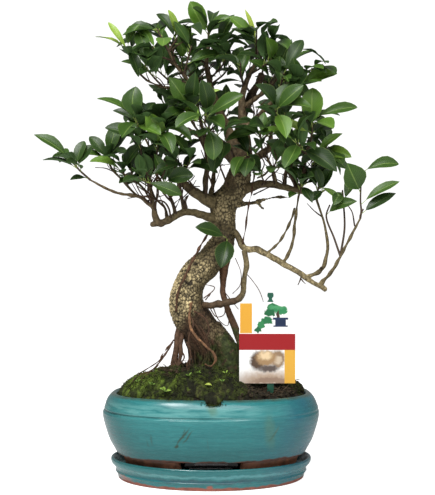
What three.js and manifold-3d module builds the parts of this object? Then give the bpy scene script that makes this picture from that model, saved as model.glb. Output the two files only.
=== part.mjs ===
// A small indoor bonsai, a fig with a winding trunk and hanging roots, in an oval
// glazed pot that stands on a matching saucer. Millimetres, +Z up, the front of the
// pot faces -Y, and the origin is the centre of the saucer's underside.
import * as THREE from 'three';
import { mergeVertices } from 'three/addons/utils/BufferGeometryUtils.js';
import Module from 'manifold-3d';

const wasm = await Module();
wasm.setup();

// ---------------------------------------------------------------- driving sizes

const GAP = 0.3;                  // clearance between pieces that touch
const PLAN_RATIO = 0.78;          // depth of the pot and saucer over their width
const POT_SQUARENESS = 2.3;       // exponent of the pot's oval, 2 is an ellipse
const VESSEL_SIDES = 36;          // facets around the pot, the saucer and the soil

const SAUCER_FLOOR = 12;          // top of the saucer's floor
const FOOT_BOTTOM = SAUCER_FLOOR + GAP;
const POT_UNDERSIDE = 29;
const POT_FLOOR = 36;
const RIM_TOP = 94.5;
const MOUTH_HALF_WIDTH = 104;
const DRAIN_X = 45;               // each drain hole's distance from the middle
const DRAIN_RADIUS = 8;
const DRAIN_MESH = { side: 30, thickness: 1.2 };
const FRONT_ARCH = { halfTop: 25, halfBottom: 30 };   // openings between the pot's feet
const SIDE_ARCH = { halfTop: 22, halfBottom: 26 };
const ARCH_LENGTH = 260;

const MOUND_RISE = 31;            // crown of the soil above the rim
const CARD = { x: 60.5, y: -42, z: 151, width: 60, height: 87, thickness: 0.8 };
const STAKE = { x: 64, width: 7, thickness: 1.6, bottom: 60, top: 204.5, inSoil: 80 };
const STAKE_BACK = CARD.y + CARD.thickness / 2 + GAP + STAKE.thickness;

const LEAF_LENGTH = 41;           // blade and stalk of a full-grown leaf
const LEAF_THICKNESS = 1.1;
const TWIG_RADIUS = 1.25;
const GOLDEN_ANGLE = 2.4;         // turn between one leaf and the next around a shoot

// ---------------------------------------------------------------------- helpers

const vector = ([x, y, z]) => new THREE.Vector3(x, y, z);
const fraction = (value) => value - Math.floor(value);
const scatter = (seed) => fraction(Math.sin(seed * 12.9898) * 43758.5453);

function toSolid(geometry) {
  geometry.deleteAttribute('normal');
  geometry.deleteAttribute('uv');
  const welded = mergeVertices(geometry, 1e-4);
  return new wasm.Manifold(new wasm.Mesh({
    numProp: 3,
    vertProperties: welded.attributes.position.array,
    triVerts: Uint32Array.from(welded.index.array),
  }));
}

function reshape(geometry, move) {
  const point = new THREE.Vector3();
  const position = geometry.attributes.position;
  for (let i = 0; i < position.count; i += 1) {
    point.fromBufferAttribute(position, i);
    move(point);
    position.setXYZ(i, point.x, point.y, point.z);
  }
  return geometry;
}

function join(solids) {
  return solids.reduce((whole, piece) => whole.add(piece));
}

function largestPiece(solid) {
  const pieces = solid.decompose();
  return pieces.reduce((best, piece) => (piece.volume() > best.volume() ? piece : best));
}

// A round limb along a smooth path. Each route point is [x, y, z, radius], and
// extra fattens the limb and pushes both its ends out by the same amount.
function limb(route, { sides = 6, steps = route.length - 1, extra = 0, lump = 0 } = {}) {
  const path = new THREE.CatmullRomCurve3(route.map(vector), false, 'centripetal');
  const frames = path.computeFrenetFrames(steps, false);
  const radiusAt = (u) => {
    const place = path.getUtoTmapping(u) * (route.length - 1);
    const before = Math.min(Math.floor(place), route.length - 2);
    return THREE.MathUtils.lerp(route[before][3], route[before + 1][3], place - before);
  };
  const tube = new THREE.CylinderGeometry(1, 1, 1, sides, steps);
  reshape(tube, (point) => {
    const step = Math.round((point.y + 0.5) * steps);
    const u = step / steps;
    const across = Math.hypot(point.x, point.z) > 0.5 ? 1 : 0;
    const angle = Math.atan2(point.z, point.x);
    const ripple = 1 + lump * (Math.sin(3 * angle + 7 * u) + Math.sin(2 * angle - 13 * u));
    const radius = across * (radiusAt(u) * ripple + extra);
    const push = step === 0 ? -extra : (step === steps ? extra : 0);
    point.copy(path.getPointAt(u))
      .addScaledVector(frames.binormals[step], radius * Math.cos(angle))
      .addScaledVector(frames.normals[step], radius * Math.sin(angle))
      .addScaledVector(frames.tangents[step], push);
  });
  return toSolid(tube);
}

// A vessel turned from a half-profile of [half width, height] and drawn out to an
// oval of the given squareness.
function vessel(profile, squareness) {
  const turned = new THREE.LatheGeometry(profile.map(([r, z]) => new THREE.Vector2(r, z)), VESSEL_SIDES);
  turned.rotateX(Math.PI / 2);
  return toSolid(reshape(turned, (point) => {
    const angle = Math.atan2(point.y, point.x);
    const radius = Math.hypot(point.x, point.y);
    const spread = (Math.abs(Math.cos(angle)) ** squareness + Math.abs(Math.sin(angle)) ** squareness)
      ** (-1 / squareness);
    point.x = radius * spread * Math.cos(angle);
    point.y = radius * spread * Math.sin(angle) * PLAN_RATIO;
  }));
}

function box(width, depth, height, x, y, z) {
  return toSolid(new THREE.BoxGeometry(width, depth, height).translate(x, y, z));
}

// -------------------------------------------------------------- pieces on record

const model = new THREE.Group();
const standing = [];              // what is built so far, for clearance tests

function overlapsBox(a, b, margin) {
  return [0, 1, 2].every((i) => a.min[i] < b.max[i] + margin && b.min[i] < a.max[i] + margin);
}

function show(name, solid, colour, roughness) {
  const { vertProperties, triVerts } = solid.getMesh();
  const geometry = new THREE.BufferGeometry();
  geometry.setAttribute('position', new THREE.BufferAttribute(vertProperties, 3));
  geometry.setIndex(new THREE.BufferAttribute(triVerts, 1));
  geometry.computeVertexNormals();
  const material = new THREE.MeshStandardMaterial({ color: colour, roughness, metalness: 0 });
  const mesh = new THREE.Mesh(geometry, material);
  mesh.name = name;
  model.add(mesh);
}

function register(solid, grown = solid) {
  standing.push({ solid, grown, bounds: solid.boundingBox() });
}

function trimmed(solid) {
  const bounds = solid.boundingBox();
  return standing
    .filter((other) => overlapsBox(bounds, other.bounds, 1))
    .reduce((rest, other) => rest.subtract(other.grown), solid);
}

// ------------------------------------------------------------- saucer and pot

function makeSaucer() {
  const profile = [
    [0, 0], [102.5, 0], [104, 5.5], [106.2, 8.2], [105, 11], [110, 17], [110.8, 20.5], [109.4, 23],
    [107.2, 22], [100.5, SAUCER_FLOOR], [0, SAUCER_FLOOR],
  ];
  return vessel(profile, 2);
}

function archway({ halfTop, halfBottom }) {
  const rise = POT_UNDERSIDE - FOOT_BOTTOM;
  const outline = new THREE.Shape([
    new THREE.Vector2(-halfBottom, -1), new THREE.Vector2(halfBottom, -1),
    new THREE.Vector2(halfTop, rise - 3), new THREE.Vector2(halfTop - 4, rise),
    new THREE.Vector2(4 - halfTop, rise), new THREE.Vector2(-halfTop, rise - 3),
  ]);
  const cut = new THREE.ExtrudeGeometry(outline, { depth: ARCH_LENGTH, bevelEnabled: false });
  cut.translate(0, 0, -ARCH_LENGTH / 2).rotateX(Math.PI / 2);
  return cut;
}

function makePot() {
  const wall = [
    [0, POT_UNDERSIDE], [104, POT_UNDERSIDE], [107, 35], [112, 44], [117.5, 62], [119.6, 70],
    [119.6, 74.4], [117.8, 75.3], [117.8, 77], [118.8, 78], [114.5, 88], [110.5, 93],
    [107.5, RIM_TOP], [MOUTH_HALF_WIDTH, 92], [109, 82], [111, 70], [107, 50], [100, 40],
    [93, POT_FLOOR], [0, POT_FLOOR],
  ];
  const footRing = [
    [87, FOOT_BOTTOM], [95.5, FOOT_BOTTOM], [102.5, POT_UNDERSIDE + 2],
    [90, POT_UNDERSIDE + 2], [87, FOOT_BOTTOM],
  ];
  const frontArch = toSolid(archway(FRONT_ARCH).translate(0, 0, FOOT_BOTTOM));
  const sideArch = toSolid(archway(SIDE_ARCH).rotateZ(Math.PI / 2).translate(0, 0, FOOT_BOTTOM));
  const feet = vessel(footRing, 2).subtract(frontArch).subtract(sideArch);
  const drains = [-1, 1].map((side) => toSolid(
    new THREE.CylinderGeometry(DRAIN_RADIUS, DRAIN_RADIUS, 20, 12)
      .rotateX(Math.PI / 2)
      .translate(side * DRAIN_X, 0, POT_FLOOR - 4),
  ));
  return vessel(wall, POT_SQUARENESS).add(feet).subtract(join(drains));
}

// A square of mesh over a drain hole, and the same grown by extra on every side.
function makeDrainMesh(side, extra = 0) {
  const width = DRAIN_MESH.side + 2 * extra;
  const middle = POT_FLOOR + GAP + DRAIN_MESH.thickness / 2;
  return box(width, width, DRAIN_MESH.thickness + 2 * extra, side * DRAIN_X, 0, middle);
}

// ------------------------------------------------------------------ growing medium

// Height of the soil: a flattened dome with a hollow under the label, a slighter one at
// the left, and low clods. Each hollow has its depth, its middle and its spread squared.
const LABEL_HOLLOW = { depth: 30, x: 62, y: -48, spread: 1300 };
const LEFT_HOLLOW = { depth: 8, x: -72, y: 0, spread: 1100 };

function hollowDepth({ depth, x: middleX, y: middleY, spread }, x, y) {
  return depth * Math.exp(-((x - middleX) ** 2 + (y - middleY) ** 2) / spread);
}

function moundHeight(x, y) {
  const reach = Math.abs(x / MOUTH_HALF_WIDTH) ** POT_SQUARENESS
    + Math.abs(y / (MOUTH_HALF_WIDTH * PLAN_RATIO)) ** POT_SQUARENESS;
  const inside = Math.max(0, 1 - reach);
  const dome = MOUND_RISE * inside ** 0.85;
  const hollows = hollowDepth(LABEL_HOLLOW, x, y) + hollowDepth(LEFT_HOLLOW, x, y);
  const clods = 1.2 * Math.sin(x / 7) * Math.cos(y / 9);
  return RIM_TOP - 1 + dome - hollows * inside + clods * Math.min(1, dome / 8);
}

function makeSoilFill() {
  const inside = [
    [0, POT_FLOOR + GAP], [92.6, POT_FLOOR + GAP], [99.4, 40.3], [106.4, 50], [110.4, 70],
    [108.5, 81.7], [103.5, 92],
  ];
  const rings = [0.88, 0.66, 0.42, 0.2].map((part) => [part * MOUTH_HALF_WIDTH, RIM_TOP + 1]);
  const fill = vessel([...inside, ...rings, [0, RIM_TOP + 1]], POT_SQUARENESS);
  return fill.warp((vertex) => {
    if (vertex[2] > RIM_TOP) {
      vertex[2] = moundHeight(vertex[0], vertex[1]);
    }
  });
}

// A cushion of moss: a lumpy flattened ball that follows the ground under it.
function mossCushion(x, y, halfWidth, halfDepth, thickness) {
  return toSolid(reshape(new THREE.SphereGeometry(1, 12, 6), (point) => {
    const lump = 1 + 0.09 * Math.sin(5 * point.x + 3 * point.y) + 0.07 * Math.cos(7 * point.y - 2 * point.x);
    const ground = [x + point.x * halfWidth * lump, y + point.z * halfDepth * lump];
    point.set(...ground, moundHeight(...ground) - point.y * thickness * lump);
  }));
}

// The tuft of the front cushion that has grown over the pot's rim.
function mossOverhang() {
  return join([-5, 2, 9].map((x) => limb([
    [x, -70, 99, 5], [x + 1, -82, 98, 5], [x + 1, -89, 94, 4], [x, -91.5, 88, 2.6],
  ])));
}

// ------------------------------------------------------------------- the wood

// Each run is a route of [x, y, z, radius] from its root end to its tip. The trunk's runs
// are its stem, its root mass, two surface roots, a buttress, the back leader and a dead twig.
const TRUNK = [
  [[-2, 8, 90, 20], [-2, 7, 112, 19], [-4, 5, 138, 20.3], [-8, 2, 152, 21], [-13, -1, 164, 19.8],
    [-21, -5, 177, 19.2], [-27, -8, 192, 18.2], [-25, -9, 208, 17.4], [-17, -8, 223, 16.4],
    [-5, -5, 236, 15.6], [6, -3, 247, 14.6], [13, 0, 259, 13.4], [15, 2, 271, 13], [13, 3, 285, 14.3],
    [14, 3, 299, 15], [20, 2, 311, 15], [28, 0, 322, 14.2], [32, 0, 336, 12], [32, 1, 352, 10]],
  [[-3, 6, 142, 15], [-6, 4, 164, 14], [-12, 0, 182, 9]],
  [[6, -4, 126, 9], [18, -14, 114, 6], [32, -26, 104, 4], [44, -34, 96, 3]],
  [[4, 0, 168, 7], [12, -3, 152, 9], [17, -6, 134, 11], [22, -8, 112, 12], [24, -9, 92, 12]],
  [[-12, 6, 124, 9], [-34, 8, 116, 6], [-54, 12, 108, 4]],
  [[33, 3, 345, 8], [30, 16, 370, 7], [35, 30, 401, 5.5], [47, 42, 431, 4.5], [59, 50, 456, 3.2]],
  [[30, 0, 302, 4], [45, -6, 303, 1.9], [57, -10, 306, 1.6], [72, -14, 309, 1.3], [86, -22, 308, 1]],
  [[50, -8, 304, 1.3], [58, -12, 296, 0.9]],
];
const LEADER_LEFT = [
  [[31, 1, 345, 9], [26, 4, 363, 7.6], [19, 8, 386, 5.6], [8, 8, 411, 4], [-1, 5, 436, 3.3],
    [-5, 2, 458, 2.7], [-3, -2, 478, 2]],
  [[19, 8, 386, 3.2], [6, -6, 404, 2.4], [-8, -18, 420, 2.2], [-23, -26, 433, 1.8], [-36, -30, 448, 1.5],
    [-46, -32, 466, 1.2]],
  [[8, 8, 411, 2.7], [-6, 16, 430, 2.2], [-24, 20, 449, 2], [-44, 20, 463, 1.6], [-66, 17, 473, 1.3]],
  [[-22, -26, 432, 1.7], [-38, -30, 428, 1.4], [-51, -34, 426, 1.3], [-69, -38, 433, 1.2]],
];
const LEADER_RIGHT = [
  [[33, 0, 345, 9.5], [38, -3, 362, 7.4], [37, -6, 384, 5.4], [34, -6, 408, 4.2], [37, -4, 431, 3.3],
    [50, -2, 461, 2]],
  [[37, -6, 384, 3.2], [56, -16, 402, 2.6], [71, -24, 416, 2.2], [84, -28, 431, 1.7], [97, -30, 441, 1.4]],
  [[34, -6, 408, 2.9], [59, 4, 428, 2.4], [77, 10, 447, 1.8], [91, 12, 463, 1.4]],
];
const LOW_LEFT_BRANCH = [
  [[9, 0, 285, 6], [-7, -6, 289, 4.8], [-18, -9, 292, 4.2], [-28, -12, 293, 4], [-38, -14, 289, 4],
    [-48, -16, 283, 4], [-57, -17, 280.5, 3.9], [-61, -18, 288, 3.4], [-63, -20, 297, 2.7],
    [-70, -21, 303, 2.2], [-76, -22, 308, 2], [-83, -24, 310, 1.8]],
  [[-56, -17, 281, 3.4], [-61, -17, 279.5, 3.4], [-66, -17, 278.5, 2.7]],
  [[-83, -24, 310, 1.8], [-99, -28, 312, 1.5], [-113, -32, 317, 1.3], [-130, -35, 326, 1.2]],
  [[-80, -23, 309, 1.7], [-91, -20, 321, 1.6], [-109, -14, 340, 1.2]],
  [[-62, -19, 293, 2], [-64, -24, 309, 1.7], [-74, -36, 338, 1.2]],
  [[-48, -16, 284, 1.9], [-51, -10, 298, 1.5], [-61, -4, 307, 1.4], [-73, 10, 336, 1.2]],
  [[-40, -14, 288, 1.8], [-42, -20, 302, 1.5], [-60, -34, 334, 1.2]],
  [[-30, -12, 293, 1.8], [-34, -18, 314, 1.4], [-38, -24, 335, 1.2]],
];
const UPPER_LEFT_BRANCH = [
  [[13, 2, 301, 8.5], [-3, -5, 306, 7], [-14, -10, 312, 6], [-25, -14, 319, 4.8], [-34, -16, 330, 3.6],
    [-43, -20, 350, 2.6], [-54, -28, 371, 1.8]],
  [[-7, -6, 313, 3.2], [-6, -8, 326, 2.9], [-5, -16, 355, 2.4], [-9, -21, 371, 2], [-22, -27, 393, 1.4]],
  [[-1, -4, 311, 3], [2, 6, 324, 2.5], [3, 22, 360, 1.9], [-4, 32, 400, 1.3]],
  [[-25, -14, 321, 2.4], [-37, -6, 328, 2.2], [-60, 10, 352, 1.6], [-77, 20, 381, 1.2]],
];
const RIGHT_BRANCH = [
  [[29, 0, 318, 8], [45, -6, 321, 5.4], [56, -10, 324, 4.4], [68, -13, 323, 4], [80, -16, 320, 3.6],
    [92, -18, 317, 3.2], [106, -20, 312, 2.2]],
  [[97, -19, 315, 2.6], [101, -24, 333, 2.2], [103, -30, 354, 1.8]],
  [[97, -18, 317, 2.2], [85, -12, 338, 1.9], [80, -6, 362, 1.6], [82, 0, 383, 1.4]],
  [[72, -14, 322, 2], [66, -23, 342, 1.7], [55, -30, 361, 1.4]],
  [[94, -18, 317, 2.1], [108, -4, 332, 1.9], [127, 14, 355, 1.5]],
  [[81, -16, 320, 2.3], [84, 4, 337, 2], [100, 26, 366, 1.6], [109, 36, 389, 1.4]],
];
const LOW_RIGHT_BRANCH = [
  [[16, 2, 278, 5.5], [28, -3, 269, 3.7], [37, -11, 253, 3.6], [52, -18, 251, 3.6], [61, -22, 246, 3.4],
    [72, -25, 240, 3.3], [98, -31, 224, 3], [111, -34, 215, 2.7], [124, -36, 208, 2.4]],
  [[60, -22, 246, 1.6], [75, -19, 260, 1.4], [88, -16, 284, 1.2], [92, -15, 297, 1]],
  [[78, -27, 235, 2.3], [88, -24, 255, 1.8], [92, -24, 284, 1.5], [95, -28, 308, 1.2]],
  [[103, -32, 221, 2.3], [119, -35, 229, 2.3], [126, -34, 251, 1.7], [124, -31, 274, 1.4],
    [115, -26, 306, 1.2]],
  [[117, -35, 212, 2.4], [131, -39, 229, 1.9], [146, -41, 257, 1.6], [160, -43, 284, 1.3]],
];
const BACK_LEFT_BRANCH = [
  [[27, 4, 350, 6], [12, 24, 366, 4.6], [-6, 46, 380, 3.8], [-28, 64, 395, 2.6]],
  [[-6, 46, 380, 2.6], [-13, 62, 405, 2.1], [-18, 74, 430, 1.6]],
];
const BACK_RIGHT_BRANCH = [
  [[34, 2, 340, 6.5], [49, 28, 355, 5], [66, 50, 369, 4], [86, 68, 383, 2.6]],
  [[66, 50, 369, 2.8], [72, 66, 394, 2.2], [79, 78, 421, 1.7]],
];

const ROOTS = {
  aerial_root_centre: [
    [[14, 2, 242, 8], [14, -1, 222, 4.2], [13, -4, 204, 3], [19, -10, 185, 3.3], [29, -14, 160, 4],
      [33, -16, 146, 4], [36, -17, 128, 3.6], [36, -18, 102, 3]],
  ],
  aerial_root_hook: [
    [[37, -12, 250, 3.2], [39, -14, 236, 2.9], [36, -15, 214, 2.8], [35, -17, 203, 3.2],
      [30, -20, 197, 3.7], [16, -24, 193, 4], [4, -25, 191, 3.8], [-8, -18, 190, 3.4]],
  ],
  left_roots: [
    [[-33, -6, 172, 5], [-37, -13, 153, 3.4], [-39, -18, 130, 3], [-40, -22, 100, 2.6]],
    [[-30, -5, 166, 4.5], [-35, -12, 148, 2.6], [-42, -16, 128, 2.2], [-39, -18, 98, 2.2]],
    [[-33, -10, 160, 3], [-33, -20, 142, 2.2], [-36, -26, 120, 2], [-45, -34, 96, 1.8]],
    [[-41, -14, 152, 0.9], [-52, -17, 138, 0.7], [-61, -22, 122, 0.7], [-80, -28, 113, 0.7],
      [-88, -31, 104, 0.7]],
  ],
  curled_root: [
    [[-22, -24, 194, 1.5], [-23, -28, 179, 1.3], [-22, -29, 166, 1.2], [-8, -33, 149, 1.1],
      [3, -34, 139, 1.1], [5, -34, 131, 1], [0, -34, 125, 0.9], [-6, -33, 127, 0.8]],
  ],
  dark_root: [
    [[4, -9, 277, 1.6], [-6, -20, 264, 1.3], [-18, -27, 243, 1.3], [-28, -30, 222, 1.4],
      [-36, -29, 203, 1.2], [-38, -23, 184, 1.2]],
  ],
  upper_aerial_root: [
    [[44, -8, 362, 1.3], [47, -16, 344, 0.9], [45, -20, 317, 0.8], [41, -19, 298, 0.8],
      [38, -15, 275, 0.8], [35, -12, 258, 0.8]],
  ],
};

function woodPiece(runs, sides, stepsPerPoint, lump) {
  const build = (extra) => join(runs.map((route, index) => limb(route, {
    sides: index === 0 ? sides : Math.min(sides, 6),
    steps: Math.round((route.length - 1) * stepsPerPoint),
    extra,
    lump: index === 0 ? lump : 0,
  })));
  return { solid: build(0), grown: build(GAP) };
}

function addWood(name, piece, colour, roughness) {
  const fitted = largestPiece(trimmed(piece.solid));
  register(fitted, piece.grown);
  show(name, fitted, colour, roughness);
}

// ---------------------------------------------------------------------- foliage

// Each shoot is a route of [x, y, z]. Each chosen leaf is [tip x, y, z, width, tilt]:
// tilt 0 lays the blade flat with its face up, and 90 turns its face to the front. A sixth
// number sets where the leaf is attached: the shoot's number plus a share of its length.
// extra is the number of further leaves set around the shoots in a spiral.
const FOLIAGE = {
  far_left: {
    shoots: [[[-130, -35, 326], [-142, -37, 337], [-152, -38, 349]]],
    leaves: [[-190, -42, 374, 15, 45], [-181, -40, 347, 9, 20], [-128, -34, 364, 18, 40],
      [-158, -66, 350, 18, 10], [-150, -48, 325, 10, 40, 0.1]],
    extra: 3,
  },
  left_low: {
    shoots: [[[-109, -14, 340], [-113, -15, 349], [-115, -16, 358]]],
    leaves: [[-146, -16, 354, 16, 30], [-134, -12, 376, 14, 60], [-130, -42, 345, 14, 40],
      [-103, -12, 390, 16, 70], [-90, -44, 356, 16, 40]],
    extra: 7,
  },
  left_mid: {
    shoots: [[[-74, -36, 338], [-75, -39, 357], [-77, -42, 376], [-79, -43, 390]]],
    leaves: [[-122, -45, 412, 12, 35], [-80, -46, 425, 23, 88], [-114, -38, 382, 18, 50],
      [-92, -76, 366, 20, 40], [-60, -34, 410, 16, 60], [-52, -68, 370, 18, 40]],
    extra: 6,
  },
  left_inner: {
    shoots: [[[-60, -34, 334], [-58, -38, 353], [-55, -44, 384]]],
    leaves: [[-20, -56, 364, 17, 30], [-68, -60, 396, 20, 75], [-40, -72, 350, 17, 40],
      [-31, -44, 309, 16, 60]],
    extra: 9,
  },
  left_hollow: {
    shoots: [[[-73, 10, 336], [-76, 12, 346], [-78, 14, 355]]],
    leaves: [[-95, 4, 324, 15, 40]],
    extra: 9,
  },
  left_hang: {
    shoots: [[[-38, -24, 335], [-38, -26, 344], [-38, -28, 352]]],
    leaves: [[-18, -46, 330, 19, 75], [-62, -50, 330, 16, 40]],
    extra: 7,
  },
  left_high: {
    shoots: [[[-54, -28, 371], [-55, -30, 381], [-55, -31, 388]]],
    leaves: [[-82, -18, 404, 14, 50], [-36, -20, 414, 17, 45]],
    extra: 6,
  },
  centre: {
    shoots: [[[-22, -27, 393], [-23, -29, 400], [-23, -31, 407]]],
    leaves: [[-45, -40, 436, 20, 70], [10, -42, 422, 9, 50], [-14, -64, 384, 14, 55],
      [-52, -56, 384, 17, 45], [-16, -50, 440, 18, 50]],
    extra: 5,
  },
  inner_back: {
    shoots: [[[-4, 32, 400], [-5, 34, 413], [-6, 35, 422]]],
    leaves: [],
    extra: 12,
  },
  left_back: {
    shoots: [[[-77, 20, 381], [-81, 22, 391], [-83, 24, 400]]],
    leaves: [[-112, 22, 410, 15, 40]],
    extra: 7,
  },
  upper_far_left: {
    shoots: [[[-69, -38, 433], [-79, -40, 443], [-90, -42, 468]]],
    leaves: [[-124, -46, 478, 9, 20], [-110, -44, 494, 8, 50], [-78, -38, 487, 16, 80],
      [-96, -44, 452, 14, 35], [-76, -60, 432, 13, 20]],
    extra: 7,
  },
  upper_left: {
    shoots: [
      [[-46, -32, 466], [-53, -34, 479], [-58, -35, 489]],
      [[-46, -32, 466], [-38, -24, 479], [-33, -19, 490]],
    ],
    leaves: [[-46, -38, 509, 9, 40], [-60, -16, 510, 13, 40], [-88, -38, 490, 13, 30],
      [-94, -52, 478, 14, 20], [-22, -26, 495, 16, 60], [-46, 0, 506, 14, 40], [-10, -52, 478, 17, 30],
      [-50, -72, 462, 17, 30]],
    extra: 12,
  },
  upper_left_back: {
    shoots: [[[-66, 17, 473], [-74, 14, 486], [-78, 12, 496]]],
    leaves: [[-98, 4, 492, 12, 30], [-108, 22, 482, 15, 30], [-70, 22, 508, 14, 50]],
    extra: 9,
  },
  top_centre: {
    shoots: [[[-3, -2, 477], [-3, -3, 487], [-3, -4, 496]]],
    leaves: [[-23, -12, 525, 20, 75], [-44, 2, 500, 14, 30], [26, -10, 511, 15, 60],
      [3, 28, 522, 14, 40], [28, -34, 490, 18, 25], [-16, -42, 466, 17, 30]],
    extra: 10,
  },
  top_right: {
    shoots: [
      [[50, -2, 461], [50, -12, 476], [50, -22, 492]],
      [[50, -2, 461], [53, 8, 477], [56, 12, 488]],
      [[50, -2, 461], [62, -10, 470], [70, -14, 480]],
    ],
    leaves: [[37, -22, 514, 6, 60], [73, -24, 499, 14, 45], [20, -20, 506, 16, 55],
      [85, -14, 483, 13, 20], [58, -62, 474, 17, 75], [30, -52, 458, 16, 40], [82, -50, 464, 15, 40]],
    extra: 12,
  },
  right_top: {
    shoots: [[[91, 12, 463], [93, 10, 470], [95, 8, 477]]],
    leaves: [[88, -26, 480, 17, 70], [114, 6, 474, 13, 30], [128, 0, 458, 13, 5],
      [77, 30, 488, 15, 55]],
    extra: 9,
  },
  right_high: {
    shoots: [[[97, -30, 441], [105, -32, 444], [113, -33, 447]]],
    leaves: [[136, -40, 440, 17, 60], [118, -60, 428, 14, 25], [105, -14, 420, 14, 30],
      [107, -34, 408, 14, 50], [86, -62, 416, 18, 45], [99, -40, 476, 16, 50]],
    extra: 9,
  },
  right_mid: {
    shoots: [
      [[103, -30, 353], [108, -34, 368], [110, -38, 395]],
      [[103, -30, 353], [97, -42, 358], [91, -52, 364]],
    ],
    leaves: [[109, -44, 424, 24, 88], [158, -38, 404, 13, 68], [134, -8, 392, 19, 70],
      [74, -46, 390, 10, 70], [80, -14, 376, 19, 45], [128, -72, 376, 19, 45], [133, -62, 332, 21, 65],
      [50, -60, 374, 15, 40], [76, -82, 334, 17, 40]],
    extra: 9,
  },
  right_low: {
    shoots: [[[127, 14, 355], [129, 10, 364], [130, 6, 370]]],
    leaves: [[144, -22, 378, 12, 40], [154, -20, 352, 17, 75], [120, -4, 326, 19, 70],
      [144, -26, 344, 17, 40]],
    extra: 8,
  },
  right_back: {
    shoots: [[[109, 36, 389], [110, 38, 401], [112, 40, 409]]],
    leaves: [[150, 46, 408, 15, 30]],
    extra: 8,
  },
  right_inner: {
    shoots: [[[82, 0, 383], [82, -2, 394], [82, -4, 402]]],
    leaves: [],
    extra: 12,
  },
  right_centre: {
    shoots: [[[55, -30, 361], [54, -32, 371], [53, -34, 379]]],
    leaves: [[16, -48, 366, 16, 40]],
    extra: 11,
  },
  far_right: {
    shoots: [[[160, -43, 284], [161, -44, 292], [160, -45, 302], [161, -46, 334]]],
    leaves: [[144, -58, 342, 26, 84], [201, -46, 342, 15, 62, 0.98], [201, -50, 323, 13, 45, 0.3],
      [198, -46, 311, 15, 45, 0.1]],
    extra: 0,
  },
  right_small: {
    shoots: [
      [[139, -40, 244], [133, -36, 263], [125, -31, 287], [128, -37, 299]],
      [[139, -40, 244], [144, -37, 274], [143, -34, 304], [142, -35, 315]],
    ],
    leaves: [[131, -48, 298, 12, 75, 1.98], [158, -14, 334, 13, 30],
      [156, -50, 302, 14, 62, 0.8]],
    extra: 1,
  },
  right_drop: {
    shoots: [[[115, -26, 306], [116, -28, 315], [117, -30, 320]],
      [[115, -26, 306], [119, -31, 312], [123, -36, 315]]],
    leaves: [[107, -46, 302, 11, 50, 1.98], [145, -44, 297, 7, 70, 0.95]],
    extra: 2,
  },
  right_pale: {
    shoots: [[[95, -28, 308], [97, -32, 316], [99, -34, 321]]],
    leaves: [[84, -44, 306, 10, 30, 0.3], [108, -52, 300, 12, 40]],
    extra: 2,
  },
  back_top: {
    shoots: [[[59, 50, 456], [61, 52, 467], [64, 54, 477]]],
    leaves: [],
    extra: 12,
  },
  back_left_high: {
    shoots: [[[-18, 74, 430], [-20, 76, 442], [-21, 78, 451]]],
    leaves: [],
    extra: 11,
  },
  back_left: {
    shoots: [
      [[-28, 64, 395], [-47, 76, 412], [-59, 80, 431]],
      [[-28, 64, 395], [-44, 82, 386], [-71, 98, 389]],
    ],
    leaves: [],
    extra: 12,
  },
  back_right_high: {
    shoots: [[[79, 78, 421], [82, 80, 433], [84, 82, 442]]],
    leaves: [],
    extra: 8,
  },
  back_right: {
    shoots: [
      [[86, 68, 383], [103, 80, 399], [117, 84, 414]],
      [[86, 68, 383], [106, 84, 372], [138, 100, 371]],
    ],
    leaves: [],
    extra: 12,
  },
  centre_front: {
    shoots: [[[26, -2, 354], [19, -24, 364], [6, -42, 373], [-6, -56, 383], [-4, -64, 395]]],
    leaves: [[3, -66, 344, 20, 75], [34, -78, 410, 19, 60], [40, -66, 384, 16, 25],
      [-36, -80, 376, 18, 40], [-9, -88, 424, 18, 55], [14, -98, 372, 17, 50], [2, -50, 332, 18, 70]],
    extra: 5,
  },
  front_right: {
    shoots: [[[39, -6, 355], [49, -26, 364], [61, -44, 374], [71, -58, 385], [67, -66, 400]]],
    leaves: [[40, -78, 378, 18, 60], [78, -84, 364, 18, 50], [46, -84, 420, 18, 55],
      [96, -80, 420, 19, 60], [104, -84, 396, 17, 40]],
    extra: 6,
  },
  trunk_shoot: {
    shoots: [[[14, -8, 262], [18, -20, 264], [19, -28, 267]]],
    leaves: [[-17, -36, 275, 19, 55], [11, -42, 231, 23, 86]],
    extra: 0,
  },
};

// A leaf blade on its stalk: a thin lens from its base to its tip, widest past the
// middle, folded a little along its midrib, with the tip turned down.
function leafSolid(base, tip, width, tilt) {
  const along = tip.clone().sub(base);
  const length = along.length();
  along.normalize();
  const facing = new THREE.Vector3(0, -Math.sin(tilt), Math.cos(tilt));
  const normal = facing.addScaledVector(along, -facing.dot(along)).normalize();
  const side = new THREE.Vector3().crossVectors(along, normal);
  const stations = new Map([[-1, 0], [-0.5, 0.4], [0, 0.5], [0.5, 0.8], [1, 1]]);
  const halfWidths = new Map([[-1, 0], [-0.5, 0.45], [0, 0], [0.5, 0.44], [1, 0]]);
  const lens = new THREE.SphereGeometry(1, 6, 2);
  return toSolid(reshape(lens, (point) => {
    const key = Math.round(point.x * 2) / 2;
    const across = Math.sign(Math.round(point.z * 2)) * halfWidths.get(key) * width;
    const part = stations.get(key);
    const fold = Math.abs(across) * 0.16;
    const droop = length * 0.32 * (part - 0.4) ** 2;
    const lift = point.y * LEAF_THICKNESS / 2 + fold - droop;
    point.copy(base)
      .addScaledVector(along, part * length)
      .addScaledVector(side, across)
      .addScaledVector(normal, part > 0 ? lift : 0);
  }));
}

function isBlocked(leaf, siblings) {
  const bounds = leaf.boundingBox();
  const meetsOther = standing.some((other) => overlapsBox(bounds, other.bounds, GAP)
    && leaf.minGap(other.solid, 2 * GAP) < GAP);
  return meetsOther || siblings.some((other) => overlapsBox(bounds, other.boundingBox(), 0)
    && leaf.intersect(other).volume() > 0.6);
}

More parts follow.
